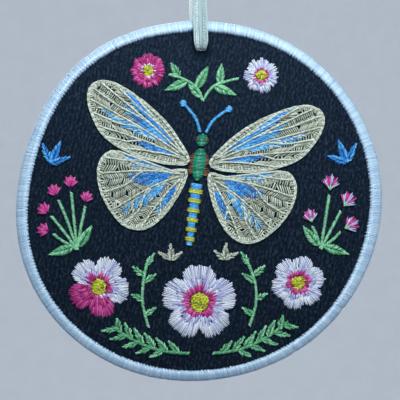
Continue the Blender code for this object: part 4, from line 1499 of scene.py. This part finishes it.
# A ring of rays: from and to as shares of the petal's length, and the threads it mixes.
Ring = namedtuple("Ring", "start end lift threads")
PETAL_THREADS = ("white", "lilac", "magenta", "pink")
WHITE, LILAC, MAGENTA, PINK = range(4)
PALE_RINGS = (
    Ring(0.60, 1.0, 0.36, (WHITE, WHITE, WHITE, WHITE, WHITE, LILAC)),
    Ring(0.40, 0.72, 0.46, (LILAC, WHITE, LILAC)),
    Ring(0.22, 0.54, 0.56, (MAGENTA, PINK, MAGENTA)),
)
PINK_RINGS = (
    Ring(0.62, 1.0, 0.36, (PINK, MAGENTA, PINK, MAGENTA)),
    Ring(0.40, 0.72, 0.46, (MAGENTA, PINK, MAGENTA)),
    Ring(0.22, 0.50, 0.56, (WHITE, MAGENTA, MAGENTA, PINK)),
)
FLOWERS = (
    Flower("large_flower", 0.5, -30.5, 11.4, 5, 90, 0.30, 2.9, ()),
    Flower("pink_flower", -29.9, -25.8, 9.3, 5, 62, 0.32, 2.4, (2, 3)),
    Flower("lilac_flower", 30.4, -24.6, 8.2, 6, 75, 0.22, 2.1, ()),
    Flower("top_left_daisy", -15.0, 39.4, 5.2, 8, 90, 0.16, 1.6, tuple(range(8))),
    Flower("top_right_daisy", 19.2, 38.0, 5.3, 7, 80, 0.18, 1.6, ()),
)
NOTCH_POWER = 4             # a high power keeps a petal round and the gap between two narrow


def at_petal(flower, angle):
    """Which petal lies in one direction, and the flower's radius there: full at the petal's
    middle, drawn in between two."""
    turns = (angle - math.radians(flower.turn_deg)) / (2 * math.pi) * flower.petals
    nearest = math.floor(turns + 0.5)
    radius = flower.radius * (1 - flower.notch * (2 * abs(turns - nearest)) ** NOTCH_POWER)
    return nearest % flower.petals, radius


print(sum(flower.petals for flower in FLOWERS), "petals on", len(FLOWERS), "flowers")

# %% [markdown]
# ### Long and short stitch
# Petals are sewn in rays from the middle outwards whose ends are uneven on purpose, so that one
# colour runs into the next without a line. Three rings of rays, from the edge inwards, each lie
# a little over the ring before. Every second ray lies lower than its neighbours, which gives the
# petals their fine relief.

# %% Sewing the petals
RAY_PITCH = 0.5
RAY_WIDTH = 0.44
RAGGED_EDGE = (-0.5, 0.3)   # how far short of the petal's edge or past it a ray ends, in mm
RAGGED_START = (-0.09, 0.05)        # inside the petal, in shares of the flower's radius
RAGGED_END = (-0.14, 0.08)
RING_OUTWARD = 0.1          # rays are counted so far outside the ring's middle
LOWER = 0.12                # every second ray lies this much lower
RAY_LIFTS = (-0.08, 0.06)


def sew_petals(flower):
    """Rings of long and short rays."""
    skein = Skein()
    centre = np.array((flower.across, flower.up))
    for pale, pink in zip(PALE_RINGS, PINK_RINGS):
        middle = flower.radius * (pale.start + pale.end) / 2 + RING_OUTWARD * flower.radius
        rays = int(2 * math.pi * middle / RAY_PITCH)
        for number in range(rays):
            angle = 2 * math.pi * number / rays
            ray = np.array((math.cos(angle), math.sin(angle)))
            petal, reach = at_petal(flower, angle)
            ring = pink if petal in flower.pink_petals else pale
            start = reach * ring.start + needle.uniform(*RAGGED_START) * flower.radius
            start = max(flower.heart, start)
            if ring.end == 1.0:
                end = reach + needle.uniform(*RAGGED_EDGE)
            else:
                end = reach * ring.end + needle.uniform(*RAGGED_END) * flower.radius
            thread = ring.threads[needle.integers(len(ring.threads))]
            lift = ring.lift - LOWER * (number % 2) + needle.uniform(*RAY_LIFTS)
            stitch(skein, centre + ray * end, centre + ray * start, lift, thread, RAY_WIDTH)
    slot = "pink_stitching" if flower.pink_petals else "lilac_stitching"
    sew_on(skein, f"sewn_{flower.name}", pick_threads(*PETAL_THREADS), f"{flower.name}_petals", slot)


print(f"rays start {RAY_PITCH} mm apart")

# %% [markdown]
# ### Hearts
# A heart is filled with yellow rows straight across it, which end unevenly. Then seed stitches
# are heaped on top: short ones laid every way, highest in the middle, with a few in olive, dark
# stitches that are painted shade among the seeds and give the heap its depth.

# %% Hearts, and all the flowers
HEART_INSET = 0.2
HEART_PITCH = 0.4
HEART_LEAN = 0.1
RAGGED_HEART = (-0.4, 0.3)
SEEDS = 6                   # times the heart's radius squared, in mm, are its seed stitches
SEEDS_WITHIN = 0.9          # share of the heart's radius
SEED_HALF = 0.55
HEART_LIFT = 0.5
SEED_LIFT = 0.62
SEED_HEAP = 0.3             # how much higher the seeds lie in the middle
# Every ninth seed is olive: painted shade among the yellow seeds.
OLIVE_EVERY = 9
LIGHT, DARK = range(2)


def sew_heart(flower):
    """Rows across the middle, and seed stitches heaped on them, laid every way."""
    skein = Skein()
    middle = np.array((flower.across, flower.up))
    for up in np.arange(-flower.heart + HEART_INSET, flower.heart, HEART_PITCH):
        half = math.sqrt(flower.heart ** 2 - up ** 2)
        left = half + needle.uniform(*RAGGED_HEART)
        right = half + needle.uniform(*RAGGED_HEART)
        stitch(skein, middle + (-left, up - HEART_LEAN), middle + (right, up + HEART_LEAN),
               HEART_LIFT, LIGHT)
    for number in range(int(SEEDS * flower.heart ** 2)):
        distance = flower.heart * SEEDS_WITHIN * math.sqrt(needle.random())
        centre = middle + turned(distance, 0, needle.uniform(0, 360))
        half = turned(SEED_HALF, 0, needle.uniform(0, 180))
        lift = SEED_LIFT + SEED_HEAP * (1 - distance / flower.heart)
        stitch(skein, centre - half, centre + half, lift, LIGHT if number % OLIVE_EVERY else DARK)
    sew_on(skein, f"sewn_{flower.name}_heart", pick_threads("yellow", "olive"),
           f"{flower.name}_heart", "yellow_stitching")


for flower in FLOWERS:
    sew_petals(flower)
    sew_heart(flower)

# %% [markdown]
# ## Buds
# A bud is a small tuft: fifteen stitches fanned out of one point, in tufts of three whose middle
# stitch is longer and higher. The buds on the right also have some lilac in them, and a green
# cup of three short stitches round their foot.

# %% Sewing the buds
Bud = namedtuple("Bud", "name across up radius turn_deg cup")
BUDS = (
    Bud("bud_left_1", -46.6, -8.6, 2.1, 160, False),
    Bud("bud_left_2", -46.4, -2.4, 2.1, 130, False),
    Bud("bud_left_3", -43.4, 3.2, 2.1, 110, False),
    Bud("bud_left_4", -38.4, 5.8, 2.1, 90, False),
    Bud("bud_left_5", -33.6, 1.2, 1.9, 75, False),
    Bud("bud_right_1", 46.4, -7.0, 2.6, 30, True),
    Bud("bud_right_2", 45.4, 0.4, 2.6, 55, True),
    Bud("bud_right_3", 40.2, 5.6, 2.6, 80, True),
    Bud("bud_right_4", 34.0, -4.4, 2.2, 105, True),
)
FAN = 15
TUFT = 3
FAN_SPREAD_DEG = 200
FOOT_BACK = 0.75            # from the bud's middle to its foot, in shares of its radius
FOOT_CLEAR = 0.12           # share of a stitch's way where it starts
SHORT_SHARE = 0.8
BUD_LIFT = 0.5
TUFT_HIGHER = 0.12
CUP_LIFT = 0.8
CUP_LEANS_DEG = (-38, 0, 38)
CUP_REACH = 0.5
CUP_BACK = 0.3
LILAC_OF_FIVE = (1, 2)      # these of every five stitches are lilac, on a bud with a cup
MINT = 4                    # the cup's thread, after the four of the petals


def sew_bud(bud):
    """A fan of stitches out of the bud's foot, in tufts of three."""
    skein = Skein()
    centre = np.array((bud.across, bud.up))
    foot = centre + turned(-FOOT_BACK * bud.radius, 0, bud.turn_deg)
    for number in range(FAN):
        lean = -FAN_SPREAD_DEG / 2 + FAN_SPREAD_DEG * number / (FAN - 1)
        long = number % TUFT == 1
        tip = centre + turned(bud.radius * (1.0 if long else SHORT_SHARE), 0, bud.turn_deg + lean)
        thread = PINK if long else MAGENTA
        if bud.cup and number % 5 in LILAC_OF_FIVE:
            thread = LILAC
        stitch(skein, foot + (tip - foot) * FOOT_CLEAR, tip, BUD_LIFT + TUFT_HIGHER * long, thread)
    if bud.cup:
        for lean in CUP_LEANS_DEG:
            cup = foot + turned(CUP_REACH * bud.radius, 0, bud.turn_deg + lean)
            stitch(skein, foot - turned(CUP_BACK, 0, bud.turn_deg), cup, CUP_LIFT, MINT)
    sew_on(skein, f"sewn_{bud.name}", pick_threads(*PETAL_THREADS, "mint"), bud.name, "pink_stitching")


for bud in BUDS:
    sew_bud(bud)

# %% [markdown]
# ## Stems and leaves
# A stem is a narrow satin column whose slanting stitches read as a twisted cord. A leaf is sewn
# in two halves whose stitches meet in a V along its midrib. The pattern is two tables, one row
# for each stem and each leaf, and the spray's name ties them together.

# %% The sprays' pattern
Stem = namedtuple("Stem", "spray width points")
STEMS = (
    Stem("spray_left", 1.1, ((-36.4, -14.6), (-41.4, -11.6), (-44.0, -9.6))),
    Stem("spray_left", 1.1, ((-36.4, -14.6), (-41.2, -8.2), (-44.4, -4.3))),
    Stem("spray_left", 1.1, ((-36.4, -14.6), (-39.6, -5.4), (-42.2, 0.6))),
    Stem("spray_left", 1.1, ((-36.4, -14.6), (-37.4, -5.4), (-38.2, 3.0))),
    Stem("spray_left", 1.1, ((-36.4, -14.6), (-35.2, -7.4), (-33.9, -1.3))),
    Stem("spray_right", 1.1, ((37.2, -14.4), (40.8, -11.6), (43.2, -9.2))),
    Stem("spray_right", 1.1, ((37.2, -14.4), (40.6, -8.0), (43.4, -2.6))),
    Stem("spray_right", 1.1, ((37.2, -14.4), (38.6, -5.6), (39.8, 2.2))),
    Stem("spray_right", 1.1, ((37.2, -14.4), (35.9, -10.2), (34.6, -7.4))),
    Stem("spray_top", 1.1, ((1.6, 30.4), (-0.6, 34.6), (-5.0, 37.2), (-9.0, 38.4))),
    Stem("spray_top", 1.1, ((1.6, 30.4), (4.6, 34.6), (9.4, 36.4), (12.8, 37.0))),
    Stem("fern_left", 1.2, ((-2.6, -46.0), (-11.0, -45.2), (-19.0, -42.2), (-26.4, -37.6))),
    Stem("fern_right", 1.2, ((4.4, -46.0), (12.6, -44.8), (20.4, -41.4), (27.4, -36.4))),
    Stem("leaves_left", 1.1, ((-14.8, -38.2), (-16.6, -31.0), (-16.4, -24.0), (-15.0, -17.6))),
    Stem("leaves_right", 1.1, ((15.6, -37.8), (17.6, -31.0), (17.2, -24.0), (14.6, -17.4))),
)

Leaf = namedtuple("Leaf", "spray across up point_deg length width")
LEAVES = (
    Leaf("spray_left", -37.4, -13.8, 197, 8.0, 3.0),
    Leaf("spray_left", -36.0, -13.8, 58, 7.6, 2.8),
    Leaf("spray_right", 38.2, -13.6, -18, 7.8, 3.0),
    Leaf("spray_right", 36.4, -13.4, 128, 7.4, 2.8),
    Leaf("spray_top", -0.4, 34.0, 62, 7.6, 2.9),
    Leaf("spray_top", -3.2, 36.2, 202, 7.2, 2.8),
    Leaf("spray_top", -5.4, 37.4, 122, 5.2, 2.3),
    Leaf("spray_top", 4.8, 34.8, 338, 7.2, 2.8),
    Leaf("spray_top", 6.6, 35.4, 84, 6.2, 2.5),
    Leaf("spray_top", 1.2, 31.4, 136, 5.8, 2.4),
    Leaf("fern_left", -5.6, -46.0, 132, 5.0, 1.9),
    Leaf("fern_left", -9.2, -45.6, 128, 5.6, 1.9),
    Leaf("fern_left", -12.8, -44.8, 124, 6.0, 1.9),
    Leaf("fern_left", -16.4, -43.6, 118, 6.0, 1.9),
    Leaf("fern_left", -20.0, -41.8, 112, 5.4, 1.9),
    Leaf("fern_left", -23.4, -39.8, 104, 4.6, 1.9),
    Leaf("fern_left", -10.6, -45.4, 204, 4.4, 1.8),
    Leaf("fern_left", -14.4, -44.4, 200, 4.6, 1.8),
    Leaf("fern_left", -18.2, -42.8, 196, 4.8, 1.8),
    Leaf("fern_left", -21.8, -40.9, 190, 4.8, 1.8),
    Leaf("fern_left", -24.8, -38.8, 186, 4.4, 1.8),
    Leaf("fern_right", 7.0, -45.9, 48, 5.0, 1.9),
    Leaf("fern_right", 10.6, -45.3, 52, 5.6, 1.9),
    Leaf("fern_right", 14.2, -44.3, 56, 6.0, 1.9),
    Leaf("fern_right", 17.8, -42.9, 62, 6.0, 1.9),
    Leaf("fern_right", 21.2, -41.0, 68, 5.4, 1.9),
    Leaf("fern_right", 24.6, -38.8, 76, 4.6, 1.9),
    Leaf("fern_right", 12.2, -44.9, -26, 4.4, 1.8),
    Leaf("fern_right", 16.0, -43.7, -20, 4.6, 1.8),
    Leaf("fern_right", 19.6, -41.9, -16, 4.8, 1.8),
    Leaf("fern_right", 23.2, -39.8, -10, 4.8, 1.8),
    Leaf("fern_right", 26.0, -37.6, -6, 4.4, 1.8),
    Leaf("leaves_left", -15.8, -34.4, 36, 3.9, 1.8),
    Leaf("leaves_left", -16.5, -30.0, 152, 4.0, 1.8),
    Leaf("leaves_left", -16.4, -24.6, 34, 4.6, 1.9),
    Leaf("leaves_left", -16.3, -22.6, 140, 4.4, 1.9),
    Leaf("leaves_left", -15.4, -19.4, 58, 4.4, 1.9),
    Leaf("leaves_right", 16.6, -34.4, 144, 3.9, 1.8),
    Leaf("leaves_right", 17.5, -29.6, 26, 4.0, 1.8),
    Leaf("leaves_right", 17.2, -24.4, 146, 4.6, 1.9),
    Leaf("leaves_right", 17.0, -22.4, 42, 4.4, 1.9),
    Leaf("leaves_right", 15.4, -19.0, 122, 4.4, 1.9),
    Leaf("ecru_sprig_left", -8.0, -17.8, 92, 5.0, 1.9),
    Leaf("ecru_sprig_left", -8.0, -17.8, 148, 4.6, 1.8),
    Leaf("ecru_sprig_left", -8.0, -17.8, 38, 4.2, 1.8),
    Leaf("ecru_sprig_right", 8.2, -17.6, 84, 5.0, 1.9),
    Leaf("ecru_sprig_right", 8.2, -17.6, 28, 4.6, 1.8),
    Leaf("ecru_sprig_right", 8.2, -17.6, 140, 4.2, 1.8),
    Leaf("blue_sprig_left", -44.4, 11.4, 66, 7.4, 2.4),
    Leaf("blue_sprig_left", -44.4, 11.4, 112, 6.6, 2.2),
    Leaf("blue_sprig_left", -44.4, 11.4, 18, 6.2, 2.2),
    Leaf("blue_sprig_right", 45.0, 11.6, 110, 7.4, 2.4),
    Leaf("blue_sprig_right", 45.0, 11.6, 64, 6.6, 2.2),
    Leaf("blue_sprig_right", 45.0, 11.6, 160, 6.2, 2.2),
)

print(len(STEMS), "stems and", len(LEAVES), "leaves")

# %% [markdown]
# ### Sewing a leaf
# The stitches slant from the midrib to the edge. On a broad leaf they reach its outline, so it
# is smooth; on a narrow one they are set wider apart and end unevenly, like the barbs of a
# feather. One side is mostly light and the other mostly dark, as on a leaf with a fold along
# its midrib.

# %% Sewing a leaf
BROAD = 2.3                 # a leaf wider than this has a smooth outline
LEAF_PITCH = 0.5
BARB_PITCH = 0.58
LEAF_SPAN = (0.02, 0.93)    # shares of its length between the first stitch and the last
LEAF_SLANT = 0.9
LEAF_RAGGED = (-0.3, 0.22)
LEAST_BARB = 0.15
OTHER_SHARE = 0.2           # of the stitches have the other side's thread
MIDRIB_HALF = 0.06
LEAF_LIFT = 0.5
LEAF_SHARES = (0.0, 0.2, 0.42, 0.68, 0.88, 1.0)
LEAF_SWELL = (0.18, 0.8, 1.0, 0.72, 0.3, 0.0)


def half_leaf(leaf, share):
    """Half the leaf's width at a share of its length."""
    return np.interp(share, LEAF_SHARES, LEAF_SWELL) * leaf.width / 2


def on_leaf(leaf, share, aside):
    """A point of a leaf, along it and beside its midrib, as a point of the disc."""
    return np.array((leaf.across, leaf.up)) + turned(share * leaf.length, aside, leaf.point_deg)


def sew_leaf(skein, leaf):
    """Slanting stitches on both sides of the midrib, smooth-ended or, if narrow, ragged."""
    broad = leaf.width > BROAD
    for share in np.arange(*LEAF_SPAN, (LEAF_PITCH if broad else BARB_PITCH) / leaf.length):
        onward = min(1.0, share + LEAF_SLANT / leaf.length)
        for side in (-1, 1):
            reach = half_leaf(leaf, onward)
            if not broad:
                reach = max(LEAST_BARB, reach + needle.uniform(*LEAF_RAGGED))
            tip = on_leaf(leaf, onward, side * reach)
            finish = LIGHT if (side > 0) != (needle.random() < OTHER_SHARE) else DARK
            stitch(skein, on_leaf(leaf, share, side * MIDRIB_HALF), tip, LEAF_LIFT, finish)


print(sum(leaf.width > BROAD for leaf in LEAVES), "leaves are broad")

# %% [markdown]
# ### Sewing the sprays
# Stems come first and leaves over them, one piece for each spray. The holes of a stem lie a
# little inside its width, because the thread's own width takes up the rest.

# %% The sprays
HOLES_INSIDE = 0.36
STEM_STEPS = 6
STEM_LIFT = 0.56
SPRAY_THREADS = {
    "fern_left": ("green", "mint", "green_stitching"),
    "fern_right": ("green", "mint", "green_stitching"),
    "ecru_sprig_left": ("cream", "ecru", "ecru_stitching"),
    "ecru_sprig_right": ("cream", "ecru", "ecru_stitching"),
    "blue_sprig_left": ("sky", "royal", "blue_stitching"),
    "blue_sprig_right": ("royal", "sky", "blue_stitching"),
}
OTHER_SPRAYS = ("mint", "green", "green_stitching")

for spray in dict.fromkeys(row.spray for row in (*STEMS, *LEAVES)):
    skein = Skein()
    for stem in STEMS:
        if stem.spray == spray:
            sew_column(skein, smooth_open(stem.points, STEM_STEPS),
                       stem.width - HOLES_INSIDE, STEM_LIFT)
    for leaf in LEAVES:
        if leaf.spray == spray:
            sew_leaf(skein, leaf)
    light, dark, slot = SPRAY_THREADS.get(spray, OTHER_SPRAYS)
    sew_on(skein, f"sewn_{spray}", pick_threads(light, dark), spray, slot)

# %% [markdown]
# ## A plain studio
# The floor and the backdrop are one dish of pale paper that curves up far away, so nothing near
# the disc blocks a view of its back. A flat wall would be simpler, but it would leave a line
# where it meets the floor.

# %% Backdrop
FLOOR_DEPTH = 1000.0        # below the disc's centre
DISH_RADIUS = 2600.0
CURVE_RADIUS = 1500.0
CURVE_STEPS = 16
DISH_SIDES = 64
GRAINS_PER_METRE = 40.0


def paper_material():
    """Matt seamless paper: pale, with a grain that only just breaks the tone."""
    material, tree, output = new_material("seamless_paper_matt")
    place = add_node(tree, "ShaderNodeTexCoord")
    grain = add_node(tree, "ShaderNodeTexNoise", {"Scale": GRAINS_PER_METRE, "Detail": 4.0},
                     {"Vector": place.outputs["Object"]})
    colour = add_node(tree, "ShaderNodeMix", {"A": linear("dadee2"), "B": linear("e4e8ec")},
                      {"Factor": grain.outputs["Fac"]}, data_type="RGBA")
    shader = add_node(tree, "ShaderNodeBsdfPrincipled", {"Roughness": 0.9, "IOR": 1.5},
                      {"Base Color": colour.outputs["Result"]})
    tree.links.new(shader.outputs["BSDF"], output.inputs["Surface"])
    return material


def make_backdrop():
    """A round dish: flat below the hanging, and curved up all round it, far away."""
    shape = bmesh.new()
    middle = shape.verts.new(in_metres((0, 0, -FLOOR_DEPTH)))
    rings = []
    for step in range(CURVE_STEPS + 1):
        angle = math.radians(90 * step / CURVE_STEPS)
        radius = DISH_RADIUS - CURVE_RADIUS * (1 - math.sin(angle))
        up = CURVE_RADIUS * (1 - math.cos(angle)) - FLOOR_DEPTH
        turns = (2 * math.pi * side / DISH_SIDES for side in range(DISH_SIDES))
        rings.append([shape.verts.new(in_metres((radius * math.cos(t), radius * math.sin(t), up)))
                      for t in turns])
    for side in range(DISH_SIDES):
        beside = (side + 1) % DISH_SIDES
        shape.faces.new((middle, rings[0][side], rings[0][beside]))
        for low, high in zip(rings, rings[1:]):
            shape.faces.new((low[side], high[side], high[beside], low[beside]))
    mesh = bpy.data.meshes.new("paper_backdrop")
    shape.to_mesh(mesh)
    shape.free()
    mesh.shade_smooth()
    mesh.materials.append(paper_material())
    backdrop = bpy.data.objects.new("paper_backdrop", mesh)
    bpy.context.scene.collection.objects.link(backdrop)


make_backdrop()
print(f"the backdrop curves up {DISH_RADIUS - CURVE_RADIUS:.0f} mm away")

# %% [markdown]
# ### Light
# One soft lamp stands for a window above and in front of the hanging, a little to the right, and
# draws the shine on the thread. A second one, as soft as light from a white card, is behind it
# for views of the back. Four wide lamps wash the paper all round, so that it throws soft light
# back from every side.

# %% Lights
def add_area_light(name, place, aim, size, power, colour):
    """A soft square light at a place, turned to face another."""
    data = bpy.data.lights.new(name, "AREA")
    data.size = size * MM
    data.energy = power
    data.color = colour[:3]
    light = bpy.data.objects.new(name, data)
    light.location = in_metres(place)
    towards = Vector(in_metres(aim) - in_metres(place))
    light.rotation_euler = towards.to_track_quat("-Z", "Y").to_euler()
    light.visible_camera = False
    bpy.context.scene.collection.objects.link(light)


# Each row: place and aim in mm from the disc's centre, edge in mm, power in watts.
Light = namedtuple("Light", "name place aim size power colour")
LIGHTS = (
    Light("window", (30, -266, 252), (0, 0, 0), 220, 1.76, "fafcfb"),
    Light("card_behind", (-90, 330, 210), (0, 0, 0), 320, 1.0, "f7fbff"),
    Light("wash_behind", (0, 700, 500), (0, 2500, 0), 900, 18.0, "f2f7ff"),
    Light("wash_in_front", (0, -900, 500), (0, -2500, 0), 900, 7.5, "f2f7ff"),
    Light("wash_left", (-900, 0, 500), (-2500, 0, 0), 900, 12.0, "f2f7ff"),
    Light("wash_right", (900, 0, 500), (2500, 0, 0), 900, 12.0, "f2f7ff"),
)
for light in LIGHTS:
    add_area_light(light.name, light.place, light.aim, light.size, light.power, linear(light.colour))
print("lamps:", [light.name for light in LIGHTS])

# %% [markdown]
# ### Sky
# A dim blue sky opens the shadows between the stitches and tints them. As in daylight, it is
# brighter overhead than below.

# %% Sky
SKY_FROM = -0.4             # height of the direction where the sky is dimmest
SKY_TO = 0.9                # and where it is brightest
SKY_DIM = 0.02
SKY_BRIGHT = 0.08

world = bpy.data.worlds.new("pale_sky")
world.use_nodes = True
sky = world.node_tree.nodes["Background"]
direction = add_node(world.node_tree, "ShaderNodeTexCoord")
height = add_node(world.node_tree, "ShaderNodeSeparateXYZ",
                  links={"Vector": direction.outputs["Generated"]})
glow = add_node(world.node_tree, "ShaderNodeMapRange",
                {"From Min": SKY_FROM, "From Max": SKY_TO, "To Min": SKY_DIM, "To Max": SKY_BRIGHT},
                {"Value": height.outputs["Z"]})
world.node_tree.links.new(glow.outputs["Result"], sky.inputs["Strength"])
sky.inputs["Color"].default_value = linear("a8ccfa")
bpy.context.scene.world = world
print("sky made:", world.name)
